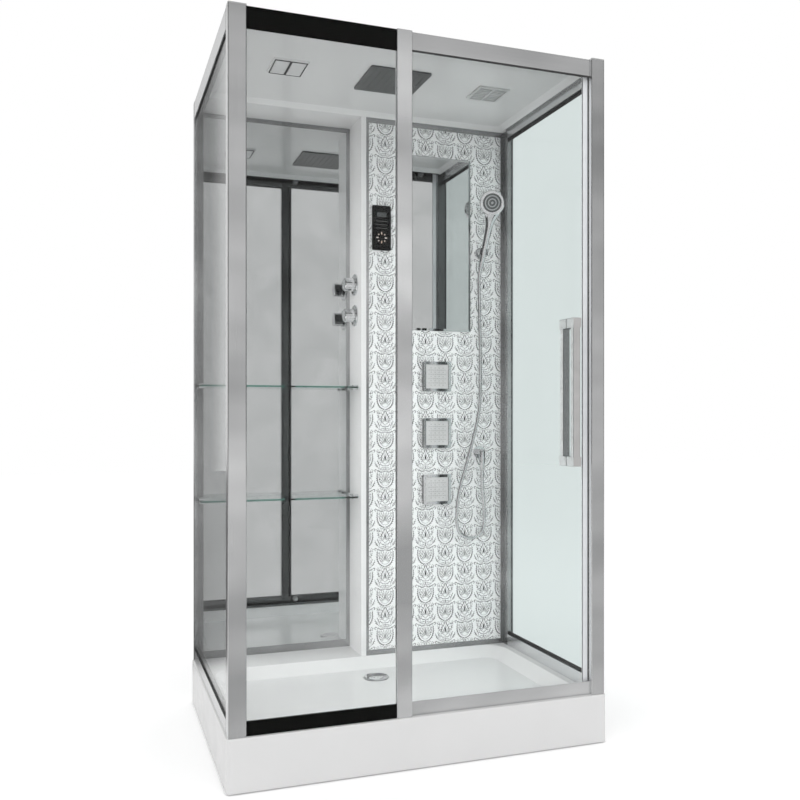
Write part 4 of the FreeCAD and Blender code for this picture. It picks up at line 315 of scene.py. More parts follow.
def hose_line():
    """Points read from the hose's smooth line."""
    curve = bpy.data.curves.new("hose_route", "CURVE")
    curve.dimensions = "3D"
    curve.resolution_u = HOSE_LINE_STEPS
    spline = curve.splines.new("NURBS")
    spline.points.add(len(HOSE_ROUTE) - 1)
    for point, place in zip(spline.points, HOSE_ROUTE):
        point.co = (*place, 1.0)
    spline.order_u = CURVE_ORDER
    spline.use_endpoint_u = True
    mesh = mesh_of_curve(curve, "hose_route")
    points = [vertex.co.copy() for vertex in mesh.vertices]
    bpy.data.meshes.remove(mesh)
    return even_points(points, HOSE_STEP)


def shower_hose(material):
    """Metal hose with a fine row of ribs, from the handset to the outlet."""
    points = hose_line()
    curve = bpy.data.curves.new("hose_tube", "CURVE")
    curve.dimensions = "3D"
    curve.bevel_depth = HOSE_DIAMETER / 2
    curve.bevel_resolution = HOSE_ROUND_STEPS
    curve.use_fill_caps = True
    spline = curve.splines.new("POLY")
    spline.points.add(len(points) - 1)
    for index, point in enumerate(spline.points):
        point.co = (*points[index], 1.0)
        crest = 0.5 + 0.5 * math.cos(2 * math.pi * index / HOSE_RIB_STEPS)
        point.radius = HOSE_GROOVE_SHARE + (1 - HOSE_GROOVE_SHARE) * crest
    mesh = mesh_of_curve(curve, "hose")
    mesh.shade_smooth()
    piece = place_piece("hose", mesh, material)
    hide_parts("shower_hose")
    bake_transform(piece)


def effect_group(name, inputs, output):
    """Empty shader node group with its sockets, its entry and its exit."""
    group = bpy.data.node_groups.new(name, "ShaderNodeTree")
    for socket, kind in inputs:
        group.interface.new_socket(socket, in_out="INPUT", socket_type="NodeSocket" + kind)
    group.interface.new_socket(output, in_out="OUTPUT", socket_type="NodeSocketFloat")
    return group, group.nodes.new("NodeGroupInput"), group.nodes.new("NodeGroupOutput")


def brushing_group():
    """Fine streaks, drawn out along one direction."""
    inputs = (("Place", "Vector"), ("Stretch", "Vector"))
    group, entry, leave = effect_group("brushing", inputs, "Streak")
    scaled = group.nodes.new("ShaderNodeVectorMath")
    scaled.operation = "MULTIPLY"
    noise = group.nodes.new("ShaderNodeTexNoise")
    noise.inputs["Scale"].default_value = 1.0
    noise.inputs["Detail"].default_value = 3.0
    group.links.new(entry.outputs["Place"], scaled.inputs[0])
    group.links.new(entry.outputs["Stretch"], scaled.inputs[1])
    group.links.new(scaled.outputs[0], noise.inputs["Vector"])
    group.links.new(noise.outputs["Fac"], leave.inputs["Streak"])
    return group


def wiping_group():
    """Soft uneven patches, as wiping leaves them."""
    group, entry, leave = effect_group("wiping", (("Place", "Vector"), ("Size", "Float")), "Patch")
    noise = group.nodes.new("ShaderNodeTexNoise")
    noise.inputs["Detail"].default_value = 2.0
    noise.inputs["Distortion"].default_value = 0.6
    widened = group.nodes.new("ShaderNodeMapRange")
    widened.inputs["From Min"].default_value = 0.3
    widened.inputs["From Max"].default_value = 0.7
    group.links.new(entry.outputs["Place"], noise.inputs["Vector"])
    group.links.new(entry.outputs["Size"], noise.inputs["Scale"])
    group.links.new(noise.outputs["Fac"], widened.inputs["Value"])
    group.links.new(widened.outputs["Result"], leave.inputs["Patch"])
    return group


def grain_group():
    """Close grain of a moulded or cast skin."""
    group, entry, leave = effect_group("grain", (("Place", "Vector"), ("Size", "Float")), "Grain")
    cells = group.nodes.new("ShaderNodeTexVoronoi")
    group.links.new(entry.outputs["Place"], cells.inputs["Vector"])
    group.links.new(entry.outputs["Size"], cells.inputs["Scale"])
    group.links.new(cells.outputs["Distance"], leave.inputs["Grain"])
    return group


def facing_group():
    """One where the surface faces a direction, nothing elsewhere."""
    group, entry, leave = effect_group("facing", (("Direction", "Vector"),), "Mask")
    geometry = group.nodes.new("ShaderNodeNewGeometry")
    along = group.nodes.new("ShaderNodeVectorMath")
    along.operation = "DOT_PRODUCT"
    step = group.nodes.new("ShaderNodeMapRange")
    step.inputs["From Min"].default_value = 0.55
    step.inputs["From Max"].default_value = 0.85
    group.links.new(geometry.outputs["Normal"], along.inputs[0])
    group.links.new(entry.outputs["Direction"], along.inputs[1])
    group.links.new(along.outputs["Value"], step.inputs["Value"])
    group.links.new(step.outputs["Result"], leave.inputs["Mask"])
    return group


BRUSHING = brushing_group()
WIPING = wiping_group()
GRAIN = grain_group()
FACING = facing_group()


def finish(name, colour, roughness, metallic=0.0):
    """New material, with its plain values on the shader's own sockets."""
    material = bpy.data.materials.new(name)
    material.use_nodes = True
    shader = material.node_tree.nodes["Principled BSDF"]
    shader.inputs["Base Color"].default_value = (*colour, 1.0)
    shader.inputs["Roughness"].default_value = roughness
    shader.inputs["Metallic"].default_value = metallic
    return material, shader


def effect(material, group, **values):
    """One shared effect in a material, read from Object coordinates."""
    made = material.node_tree.nodes.new("ShaderNodeGroup")
    made.node_tree = group
    for socket, value in values.items():
        made.inputs[socket].default_value = value
    if "Place" in made.inputs:
        place = material.node_tree.nodes.new("ShaderNodeTexCoord")
        material.node_tree.links.new(place.outputs["Object"], made.inputs["Place"])
    return made.outputs[0]


def feed(tree, socket, value):
    """Give a socket another socket's output, or a plain value."""
    if isinstance(value, bpy.types.NodeSocket):
        tree.links.new(value, socket)
    else:
        socket.default_value = value


def math_node(tree, operation, *values):
    """Result of one operation on sockets or numbers."""
    made = tree.nodes.new("ShaderNodeMath")
    made.operation = operation
    for socket, value in zip(made.inputs, values):
        feed(tree, socket, value)
    return made.outputs[0]


def tones(material, mask, first, second):
    """Colour that goes from the first tone to the second with a mask; each is a colour or a socket."""
    mix = material.node_tree.nodes.new("ShaderNodeMix")
    mix.data_type = "RGBA"
    for index, tone in zip(MIX_COLOURS, (first, second)):
        feed(material.node_tree, mix.inputs[index], (*tone, 1.0) if isinstance(tone, tuple) else tone)
    material.node_tree.links.new(mask, mix.inputs[MIX_MASK])
    return mix.outputs[MIX_COLOUR]


def spread(material, mask, low, high):
    """Value that goes from low to high with a mask."""
    made = material.node_tree.nodes.new("ShaderNodeMapRange")
    made.inputs["To Min"].default_value = low
    made.inputs["To Max"].default_value = high
    material.node_tree.links.new(mask, made.inputs["Value"])
    return made.outputs["Result"]


def relief(material, shader, height, depth):
    """Fine relief of a surface, in metres."""
    bump = material.node_tree.nodes.new("ShaderNodeBump")
    bump.inputs["Distance"].default_value = depth
    material.node_tree.links.new(height, bump.inputs["Height"])
    material.node_tree.links.new(bump.outputs["Normal"], shader.inputs["Normal"])


def wire(material, shader, socket, source):
    """Drive one of the shader's sockets."""
    material.node_tree.links.new(source, shader.inputs[socket])


def grey(level):
    """Neutral colour of one level."""
    return (level, level, level)


def white_acrylic(name, light=0.84, shade=0.822, upper_shade=0.84):
    """Glossy white sheet, faintly uneven from vacuum forming; its upper faces may be painted greyer as
    shade.
    """
    material, shader = finish(name, grey(light), 0.18)
    patch = effect(material, WIPING, Size=5.0)
    sheet = tones(material, patch, grey(shade), grey(light))
    # Faces that look up take the painted shade tone.
    upper = effect(material, FACING, Direction=UPWARD)
    wire(material, shader, "Base Color", tones(material, upper, sheet, grey(upper_shade)))
    wire(material, shader, "Roughness", spread(material, patch, 0.14, 0.26))
    relief(material, shader, effect(material, WIPING, Size=4.0), 0.0002)
    return material


def moulded_plastic(name, dark, light, roughness=0.38):
    """Moulded plastic with a close grain."""
    material, shader = finish(name, light, roughness)
    skin = effect(material, GRAIN, Size=900.0)
    wire(material, shader, "Base Color", tones(material, effect(material, WIPING, Size=22.0), dark, light))
    wire(material, shader, "Roughness", spread(material, skin, roughness - 0.06, roughness + 0.1))
    relief(material, shader, skin, 0.00005)
    return material


def along(material, axis, start, end):
    """Mask that rises from nothing to one along an axis of the object."""
    place = material.node_tree.nodes.new("ShaderNodeTexCoord")
    split = material.node_tree.nodes.new("ShaderNodeSeparateXYZ")
    material.node_tree.links.new(place.outputs["Object"], split.inputs["Vector"])
    rise = material.node_tree.nodes.new("ShaderNodeMapRange")
    rise.inputs["From Min"].default_value = start
    rise.inputs["From Max"].default_value = end
    material.node_tree.links.new(split.outputs[axis], rise.inputs["Value"])
    return rise.outputs["Result"]


def bar_aluminium(name, stretch, painted_back_shade=False, painted_left_highlight=False, tone=1.0):
    """Satin anodised bar, streaked along its length, with broad stretches of painted sheen; its back may be
    painted dark as shade, its left side painted bright as a highlight, and its whole level scaled by a tone
    that stands for how brightly it is lit.
    """
    material, shader = finish(name, grey(0.8), 0.3, 1.0)
    streak = effect(material, BRUSHING, Stretch=stretch)
    # Broad lighter and darker stretches along the bar, painted sheen.
    sheen_band = spread(material, effect(material, BRUSHING, Stretch=SHEEN_BANDS), -1.1, 2.1)
    # The tone makes lit and shaded copies of one finish: painted light.
    dark = tuple(tone * part for part in (0.29, 0.294, 0.296))
    light = tuple(tone * part for part in (0.62, 0.623, 0.626))
    colour = tones(material, sheen_band, dark, light)
    if painted_back_shade:
        # Faces looking back are painted dark, as shade.
        inside = effect(material, FACING, Direction=BACKWARD)
        colour = tones(material, inside, colour, (0.18, 0.185, 0.185))
    if painted_left_highlight:
        # Faces looking left are painted bright, as a highlight.
        side = effect(material, FACING, Direction=LEFTWARD)
        colour = tones(material, side, colour, (0.8, 0.805, 0.81))
    wire(material, shader, "Base Color", colour)
    wire(material, shader, "Roughness", spread(material, streak, 0.2, 0.3))
    relief(material, shader, streak, 0.00001)
    return material


def chrome(name, low=0.03, high=0.12, painted_shade_side=None):
    """Polished chrome with faint water marks; the faces to one side may be painted dark, as shade and dark
    reflections.
    """
    material, shader = finish(name, (0.75, 0.76, 0.765), 0.06, 1.0)
    patch = effect(material, WIPING, Size=34.0)
    colour = tones(material, patch, (0.68, 0.69, 0.695), (0.8, 0.805, 0.81))
    if painted_shade_side:
        # Faces to that side are painted near black, as shade and dark reflections.
        side = effect(material, FACING, Direction=painted_shade_side)
        colour = tones(material, side, colour, (0.07, 0.072, 0.074))
    wire(material, shader, "Base Color", colour)
    wire(material, shader, "Roughness", spread(material, patch, low, high))
    return material


def pane_glass(name, across, tint, bend=FRONT_BEND):
    """Toughened clear glass: pale through its faces and green along its edges."""
    material, shader = finish(name, tint, 0.0)
    shader.inputs["Transmission Weight"].default_value = 1.0
    shader.inputs["IOR"].default_value = bend
    shader.inputs["Specular Tint"].default_value = GLASS_SHINE
    front = effect(material, FACING, Direction=across)
    back = effect(material, FACING, Direction=tuple(-part for part in across))
    faces = math_node(material.node_tree, "ADD", front, back)
    if bend == SIDE_BEND:
        tint = tones(material, along(material, "X", *SIDE_TINT_RISE), PALE, tint)
    wire(material, shader, "Base Color", tones(material, faces, GLASS_EDGE, tint))
    wire(material, shader, "Roughness", spread(material, effect(material, WIPING, Size=3.0), 0.0, 0.012))
    return material


def silvered_mirror():
    """Silvered glass with a breath of haze, painted grey on its back."""
    material, shader = finish("silvered_mirror", grey(0.63), 0.01, 1.0)
    patch = effect(material, WIPING, Size=6.0)
    silver = tones(material, patch, (0.59, 0.602, 0.602), (0.665, 0.675, 0.675))
    back = effect(material, FACING, Direction=BACKWARD)
    wire(material, shader, "Base Color", tones(material, back, silver, (0.3, 0.32, 0.33)))
    wire(material, shader, "Metallic", spread(material, back, 1.0, 0.0))
    wire(material, shader, "Roughness", spread(material, back, 0.012, 0.55))
    return material


def painted_glass():
    """White glass, painted on its back."""
    material, shader = finish("painted_glass", (0.82, 0.845, 0.845), 0.06)
    patch = effect(material, WIPING, Size=3.0)
    white = tones(material, patch, (0.9, 0.912, 0.912), (0.93, 0.94, 0.94))
    back = effect(material, FACING, Direction=BACKWARD)
    wire(material, shader, "Base Color", tones(material, back, white, (0.56, 0.57, 0.575)))
    wire(material, shader, "Roughness", spread(material, patch, 0.03, 0.1))
    return material


def silver_print():
    """Dark silver ink of the ornament, nearly black in patches."""
    material, shader = finish("silver_print", grey(0.5), 0.24, 1.0)
    patch = spread(material, effect(material, WIPING, Size=7.0), -0.2, 2.3)
    ink = tones(material, patch, (0.01, 0.011, 0.012), (0.11, 0.113, 0.115))
    wire(material, shader, "Base Color", ink)
    wire(material, shader, "Roughness", spread(material, effect(material, WIPING, Size=30.0), 0.18, 0.32))
    return material


def black_paint(name, dark, light, gloss):
    """Black enamel behind glass."""
    material, shader = finish(name, light, 0.1)
    shader.inputs["Specular IOR Level"].default_value = gloss
    patch = effect(material, WIPING, Size=7.0)
    wire(material, shader, "Base Color", tones(material, patch, dark, light))
    wire(material, shader, "Roughness", spread(material, patch, 0.08, 0.2))
    return material


def zinc_steel():
    """Galvanised steel with a soft spangle."""
    material, shader = finish("zinc_steel", grey(0.6), 0.42, 1.0)
    spangle = effect(material, GRAIN, Size=130.0)
    wire(material, shader, "Base Color", tones(material, spangle, (0.5, 0.52, 0.54), (0.72, 0.73, 0.74)))
    wire(material, shader, "Roughness", spread(material, spangle, 0.34, 0.52))
    return material


def brushed_metal(name, dark, light, stretch):
    """Brushed metal of a given tone."""
    material, shader = finish(name, light, 0.32, 1.0)
    streak = effect(material, BRUSHING, Stretch=stretch)
    wire(material, shader, "Base Color", tones(material, streak, dark, light))
    wire(material, shader, "Roughness", spread(material, streak, 0.24, 0.4))
    relief(material, shader, streak, 0.00003)
    return material


def handle_steel():
    """Polished steel of the handles: grey outside, its inner half painted darker as shade and dark
    reflections, its left faces painted bright as a highlight.
    """
    material, shader = finish("handle_steel", grey(0.47), 0.08, 1.0)
    patch = effect(material, WIPING, Size=14.0)
    outer = tones(material, patch, (0.44, 0.435, 0.43), (0.5, 0.495, 0.49))
    # The inner half is painted darker, as shade and dark reflections.
    colour = tones(material, along(material, "Y", *HANDLE_INNER_SHADE_RISE), outer, (0.26, 0.272, 0.274))
    # Faces looking left are painted bright, as a highlight.
    side = effect(material, FACING, Direction=LEFTWARD)
    wire(material, shader, "Base Color", tones(material, side, colour, (0.86, 0.87, 0.87)))
    wire(material, shader, "Roughness", spread(material, patch, 0.06, 0.12))
    return material


def spray_face():
    """Dark spray face with moulded rings round its middle."""
    material, shader = finish("spray_face", grey(0.2), 0.35)
    tree = material.node_tree
    place = tree.nodes.new("ShaderNodeTexCoord")
    reach = tree.nodes.new("ShaderNodeVectorMath")
    reach.operation = "DISTANCE"
    reach.inputs[1].default_value = SPRAY_CENTRE
    tree.links.new(place.outputs["Object"], reach.inputs[0])
    turns = math_node(tree, "MULTIPLY", reach.outputs["Value"], 2 * math.pi / SPRAY_RING_PITCH)
    ring = math_node(tree, "SINE", turns)
    raised = spread(material, ring, 0.0, 1.0)
    wire(material, shader, "Base Color", tones(material, raised, (0.1, 0.108, 0.11), (0.5, 0.52, 0.525)))
    wire(material, shader, "Roughness", spread(material, effect(material, WIPING, Size=40.0), 0.26, 0.42))
    relief(material, shader, ring, 0.0002)
    return material


def rubber():
    """Dark seal rubber, dull and dusty."""
    material, shader = finish("seal_rubber", grey(0.03), 0.62)
    patch = effect(material, WIPING, Size=40.0)
    wire(material, shader, "Base Color", tones(material, patch, grey(0.022), grey(0.05)))
    wire(material, shader, "Roughness", spread(material, patch, 0.5, 0.75))
    return material


def lit_marks():
    """Warm white print of the touch panel."""
    material, shader = finish("lit_marks", (0.8, 0.62, 0.46), 0.4)
    patch = effect(material, WIPING, Size=45.0)
    wire(material, shader, "Base Color", tones(material, patch, (0.8, 0.42, 0.2), (0.85, 0.82, 0.78)))
    return material


def dress_nodes():
    """Give each solid its finish."""
    dressed = (
        # The tray's upper faces are painted greyer, as shade.
        (white_acrylic("tray_acrylic", 0.825, 0.805, 0.71), ("tray", "column_shell")),
        (white_acrylic("roof_acrylic"), ("roof_shell", "lamp_body")),
        (zinc_steel(), ("tray_frame", "levelling_feet", "roller_axles")),
        (moulded_plastic("white_plastic", grey(0.7), grey(0.8)),
         ("drain_body", "roller_top_left", "roller_top_right", "roller_bottom_left",
          "roller_bottom_right", "jet_bodies")),
        (moulded_plastic("pipe_plastic", (0.3, 0.34, 0.38), (0.4, 0.44, 0.48)), ("supply_pipes",)),
        (rubber(), ("drain_gasket", "frame_seals")),
        (handle_steel(), ("door_handles",)),
        (chrome("polished_chrome"),
         ("drain_flange", "drain_cover", "handset", "handset_holder", "outlet_elbow",
          "shower_hose", "valve_roses", "shelf_clips")),
        # The jet bezels' left faces and the knobs' back faces are painted dark, as shade and dark
        # reflections.
        (chrome("bezel_chrome", painted_shade_side=LEFTWARD), ("jet_bezels",)),
        (chrome("knob_chrome", painted_shade_side=BACKWARD), ("mixer_knob", "diverter_knob")),
        # Posts: backs painted dark as shade, left sides painted bright as a highlight; the middle post
        # painted lighter and the right one darker, as painted light.
        (bar_aluminium("front_bar", UPRIGHT_STREAK, True, True), ("post_front_left",)),
        (bar_aluminium("middle_bar", UPRIGHT_STREAK, True, True, 1.2), ("post_middle",)),
        (bar_aluminium("right_bar", UPRIGHT_STREAK, True, True, 0.86), ("post_front_right",)),
        (bar_aluminium("back_bar", UPRIGHT_STREAK),
         ("post_back_left", "post_back_right", "panel_frame", "niche_frame")),
        # Front rails' backs are painted dark as shade; side rails' left sides are painted bright as a
        # highlight.
        (bar_aluminium("front_rail_bar", CROSSWISE_STREAK, True), ("rail_front_top", "rail_front_bottom")),
        (bar_aluminium("side_rail_bar", INWARD_STREAK, False, True), ("rails_left", "rails_right")),
        (moulded_plastic("cap_plastic", grey(0.36), grey(0.45)), ("post_caps",)),
        (moulded_plastic("vent_plastic", (0.56, 0.57, 0.568), (0.64, 0.65, 0.648)),
         ("vent_grille", "fan_housing")),
        (moulded_plastic("jet_plastic", grey(0.6), grey(0.66)), ("jet_faces",)),
        (spray_face(), ("handset_face",)),
        (pane_glass("side_pane", RIGHTWARD, TINTED, SIDE_BEND), ("side_glass",)),
        (pane_glass("door_pane", BACKWARD, DOOR), ("door_glass",)),
        (pane_glass("fixed_pane", BACKWARD, CLEAR), ("glass_front_fixed",)),
        (pane_glass("shelf_pane", UPWARD, SHELF), ("glass_shelves",)),
        (black_paint("band_enamel", grey(0.026), grey(0.038), 0.2), ("glass_bands",)),
        (black_paint("key_glass", grey(0.004), grey(0.009), 0.08), ("control_panel",)),
        (moulded_plastic("seal_plastic", (0.84, 0.86, 0.88), (0.9, 0.92, 0.94), 0.3),
         ("door_magnet_seal",)),
        # The rain head's steel is painted very dark, a painted reflection of dark surroundings.
        (brushed_metal("dark_steel", (0.12, 0.125, 0.125), (0.17, 0.175, 0.175), CROSSWISE_STREAK),
         ("rain_head",)),
        (moulded_plastic("opal_plastic", grey(0.72), grey(0.8), 0.3), ("lamp_diffusers",)),
        (moulded_plastic("black_plastic", grey(0.02), grey(0.035)), ("fan_rotor", "control_box")),
        (painted_glass(), ("panel_glass",)),
        (silvered_mirror(), ("panel_mirror", "niche_mirror")),
        (brushed_metal("brass", (0.55, 0.4, 0.18), (0.7, 0.52, 0.26), INWARD_STREAK), ("valve_body",)),
    )
    for material, names in dressed:
        for name in names:
            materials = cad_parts[name].data.materials
            materials.clear()
            materials.append(material)


def ribbon_profile():
    """Straight line that gives a stroke its width of one."""
    profile = bpy.data.curves.new("stroke_profile", "CURVE")
    spline = profile.splines.new("POLY")
    spline.points.add(1)
    spline.points[0].co = (-0.5, 0.0, 0.0, 1.0)
    spline.points[1].co = (0.5, 0.0, 0.0, 1.0)
    holder = bpy.data.objects.new("stroke_profile", profile)
    bpy.context.scene.collection.objects.link(holder)
    return holder


def petal_stroke(across, up, length, turn, width):
    """Stroke of one petal: a narrow foot, a full middle bowed to one side, and a fine tip."""
    heading = Vector((math.cos(math.radians(turn)), math.sin(math.radians(turn))))
    foot = Vector((across, up))
    middle = foot + heading * length / 2 + heading.orthogonal() * length * PETAL_BOW_SHARE
    return (foot, middle, foot + heading * length), (PETAL_FOOT, width, PETAL_TIP)


def sprig_mesh():
    """One sprig of the ornament, flat, as thin tapering ribbons."""
    profile = ribbon_profile()
    curve = bpy.data.curves.new("sprig", "CURVE")
    curve.dimensions = "3D"
    curve.twist_mode = "Z_UP"
    curve.bevel_mode = "OBJECT"
    curve.bevel_object = profile
    half = [(stroke, STROKE_CURVE_STEPS) for stroke in SPRIG_STROKES]
    half += [(petal_stroke(*petal), PETAL_CURVE_STEPS) for petal in SPRIG_PETALS]
    strokes = [(side, *stroke) for side in (1, -1) for stroke in half]
    strokes += [(1, stroke, PETAL_CURVE_STEPS) for stroke in SPRIG_AXIS_STROKES]
    for depth, (side, (points, widths), steps) in enumerate(strokes):
        spline = curve.splines.new("NURBS")
        spline.points.add(len(points) - 1)
        for point, (across, up), width in zip(spline.points, points, widths):
            point.co = (side * across * MM, up * MM, depth * PRINT_STEP, 1.0)
            point.radius = width * MM
        spline.order_u = CURVE_ORDER
        spline.use_endpoint_u = True
        spline.resolution_u = steps
    mesh = mesh_of_curve(curve, "sprig")
    bpy.data.objects.remove(profile)
    return mesh


def cut_window(form, left, right, low, high):
    """Cut the print away where a fitting covers the panel."""
    for place, normal in (((left, 0, 0), (1, 0, 0)), ((right, 0, 0), (1, 0, 0)),
                          ((0, low, 0), (0, 1, 0)), ((0, high, 0), (0, 1, 0))):
        everything = form.verts[:] + form.edges[:] + form.faces[:]
        bmesh.ops.bisect_plane(form, geom=everything, plane_co=place, plane_no=normal)
    middles = ((face, face.calc_center_median()) for face in form.faces)
    covered = [face for face, middle in middles if left < middle.x < right and low < middle.y < high]
    bmesh.ops.delete(form, geom=covered, context="FACES")


def print_windows():
    """Parts of the panel that fittings cover, with a margin: left, right, low and high."""
    windows = [(lo.x, hi.x, lo.z, hi.z) for lo, hi in map(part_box, ("panel_mirror", "control_panel"))]
    lo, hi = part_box("jet_bezels")
    jet = hi.x - lo.x
    middle = (lo.z + hi.z) / 2
    windows += [(lo.x, hi.x, foot, foot + jet) for foot in (lo.z, middle - jet / 2, hi.z - jet)]
    return [(left - PRINT_WINDOW_MARGIN, right + PRINT_WINDOW_MARGIN,
             low - PRINT_WINDOW_MARGIN, high + PRINT_WINDOW_MARGIN) for left, right, low, high in windows]


def print_columns(name, columns, sprig, material):
    """A few columns of the ornament, every other one dropped half a row, cut to the bare panel."""
    form = bmesh.new()
    for column in columns:
        drop = PRINT_ROW_PITCH / 2 if column % 2 else 0.0
        for row in PRINT_ROWS:
            start = len(form.verts)
            form.from_mesh(sprig)
            form.verts.ensure_lookup_table()
            shift = (PRINT_COLUMN_FIRST + column * PRINT_COLUMN_PITCH,
                     PRINT_ROW_FIRST + row * PRINT_ROW_PITCH + drop, 0.0)
            bmesh.ops.translate(form, verts=form.verts[start:], vec=shift)
    left, right, low, high = PRINT_FIELD
    for place, normal in (((left, 0, 0), (-1, 0, 0)), ((right, 0, 0), (1, 0, 0)),
                          ((0, low, 0), (0, -1, 0)), ((0, high, 0), (0, 1, 0))):
        everything = form.verts[:] + form.edges[:] + form.faces[:]
        bmesh.ops.bisect_plane(form, geom=everything, plane_co=place, plane_no=normal, clear_outer=True)
    for window in print_windows():
        cut_window(form, *window)
    for face in form.faces:
        if face.normal.z < 0:
            face.normal_flip()
    bmesh.ops.solidify(form, geom=form.faces[:], thickness=PRINT_THICKNESS)
    bmesh.ops.rotate(form, verts=form.verts[:], matrix=Matrix.Rotation(math.pi / 2, 3, "X"))
    bmesh.ops.translate(form, verts=form.verts[:], vec=(0.0, PANEL_FACE - PRINT_GAP, 0.0))
    cabin_piece(name, form, material)


def panel_print(material):
    """Ornament over the whole back panel, in pieces of two columns each."""
    sprig = sprig_mesh()
    for number, columns in enumerate(PRINT_COLUMN_GROUPS, 1):
        print_columns("panel_print_%d" % number, columns, sprig, material)


def lamp_trims(material):
    """Dark trim round each window of the lamp, against the bezel's underside."""
    lo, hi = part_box("lamp_diffusers")
    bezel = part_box("lamp_body")[0].z
    window = (hi.x - lo.x - LAMP_DIVIDER) / 2
    form = bmesh.new()
    for left in (lo.x, hi.x - window):
        made = bmesh.ops.create_grid(form, x_segments=1, y_segments=1, size=0.5)["verts"]
        wide = window + 2 * LAMP_TRIM_WIDTH
        long = hi.y - lo.y + 2 * LAMP_TRIM_WIDTH
        bmesh.ops.scale(form, verts=made, vec=(wide, long, 1.0))
        bmesh.ops.translate(form, verts=made, vec=(left + window / 2, (lo.y + hi.y) / 2, bezel))
    windows = form.faces[:]
    bmesh.ops.inset_individual(form, faces=windows, thickness=LAMP_TRIM_WIDTH)
    bmesh.ops.delete(form, geom=windows, context="FACES")
    bmesh.ops.solidify(form, geom=form.faces[:], thickness=LAMP_TRIM_HEIGHT)
    cabin_piece("lamp_trims", form, material)


def jet_tips(material):
    """Fine spray tips in the gaps of each jet's moulded ones."""
    lo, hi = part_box("jet_bezels")
    jet = hi.x - lo.x
    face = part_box("jet_faces")[0].y + JET_MOULDED_TIP
    across = (lo.x + hi.x) / 2
    upward = (lo.z + jet / 2, (lo.z + hi.z) / 2, hi.z - jet / 2)
    spots = [(column, row) for column in range(-TIPS_EACH_WAY, TIPS_EACH_WAY + 1)
             for row in range(-TIPS_EACH_WAY, TIPS_EACH_WAY + 1) if column % 2 or row % 2]
    turn = Matrix.Rotation(math.pi / 2, 4, "X")
    form = bmesh.new()
    for up in upward:
        for column, row in spots:
            spot = (across + column * TIP_PITCH, face - TIP_HEIGHT / 2, up + row * TIP_PITCH)
            bmesh.ops.create_cone(form, cap_ends=True, segments=TIP_SIDES, radius1=TIP_FOOT,
                                  radius2=TIP_TOP, depth=TIP_HEIGHT, matrix=Matrix.Translation(spot) @ turn)
    cabin_piece("jet_tips", form, material)


def touch_mark(form, across, up, wide, high, turn=0.0):
    """One rounded mark, drawn flat."""
    made = bmesh.ops.create_grid(form, x_segments=1, y_segments=1, size=0.5)["verts"]
    bmesh.ops.scale(form, verts=made, vec=(wide, high, 1.0))
    bmesh.ops.rotate(form, verts=made, matrix=Matrix.Rotation(turn, 3, "Z"))
    bmesh.ops.translate(form, verts=made, vec=(across, up, 0.0))
    bmesh.ops.bevel(form, geom=made, offset=min(wide, high, 2 * MARK_ROUND) * MARK_ROUND_SHARE,
                    affect="VERTICES", segments=MARK_ROUND_STEPS, profile=0.5, material=-1)


def touch_marks(name, marks, material):
    """Printed marks of the touch panel, laid on its face."""
    lo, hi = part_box("control_panel")
    form = bmesh.new()
    for mark in marks:
        touch_mark(form, *mark)
    bmesh.ops.solidify(form, geom=form.faces[:], thickness=MARK_THICKNESS)
    bmesh.ops.rotate(form, verts=form.verts[:], matrix=Matrix.Rotation(math.pi / 2, 3, "X"))
    bmesh.ops.translate(form, verts=form.verts[:], vec=((lo.x + hi.x) / 2, lo.y - MARK_GAP, hi.z))
    cabin_piece(name, form, material)


def touch_panel():
    """Display, legend lines and a ring of keys."""
    lo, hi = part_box("control_panel")
    up = (KEY_CENTRE_SHARE - 1) * (hi.z - lo.z)
    keys = []
    for index in range(KEY_COUNT):
        turn = index * 2 * math.pi / KEY_COUNT
        size = (KEY_LONG, KEY_WIDE) if index % 2 == 0 else (KEY_SPOT, KEY_SPOT)
        keys.append((KEY_RING * math.cos(turn), up + KEY_RING * math.sin(turn), *size, turn))
    touch_marks("touch_keys", keys, lit_marks())
    legends = [(0.0, -below, LEGEND_WIDE, LEGEND_HIGH) for below in LEGENDS_BELOW_TOP]
    touch_marks("touch_legends", legends, moulded_plastic("legend_print", grey(0.11), grey(0.18)))
    display = [(0.0, -DISPLAY_BELOW_TOP, DISPLAY_WIDE, DISPLAY_HIGH)]
    display_glass = moulded_plastic("display_glass", (0.05, 0.056, 0.056), (0.09, 0.096, 0.096), 0.2)
    touch_marks("touch_display", display, display_glass)


def eased(tree, value, source, target):
    """Value carried from one range to another, eased at both ends."""
    made = tree.nodes.new("ShaderNodeMapRange")
    made.interpolation_type = "SMOOTHSTEP"
    for socket, level in zip(("From Min", "From Max", "To Min", "To Max"), (*source, *target)):
        made.inputs[socket].default_value = level
    tree.links.new(value, made.inputs["Value"])
    return made.outputs["Result"]


def level_mix(tree, mask, first, second):
    """Level that goes from the first to the second with a mask; each is a number or a socket."""
    mix = tree.nodes.new("ShaderNodeMix")
    tree.links.new(mask, mix.inputs[MIX_MASK])
    for index, level in zip(MIX_LEVELS, (first, second)):
        feed(tree, mix.inputs[index], level)
    return mix.outputs[MIX_LEVEL]


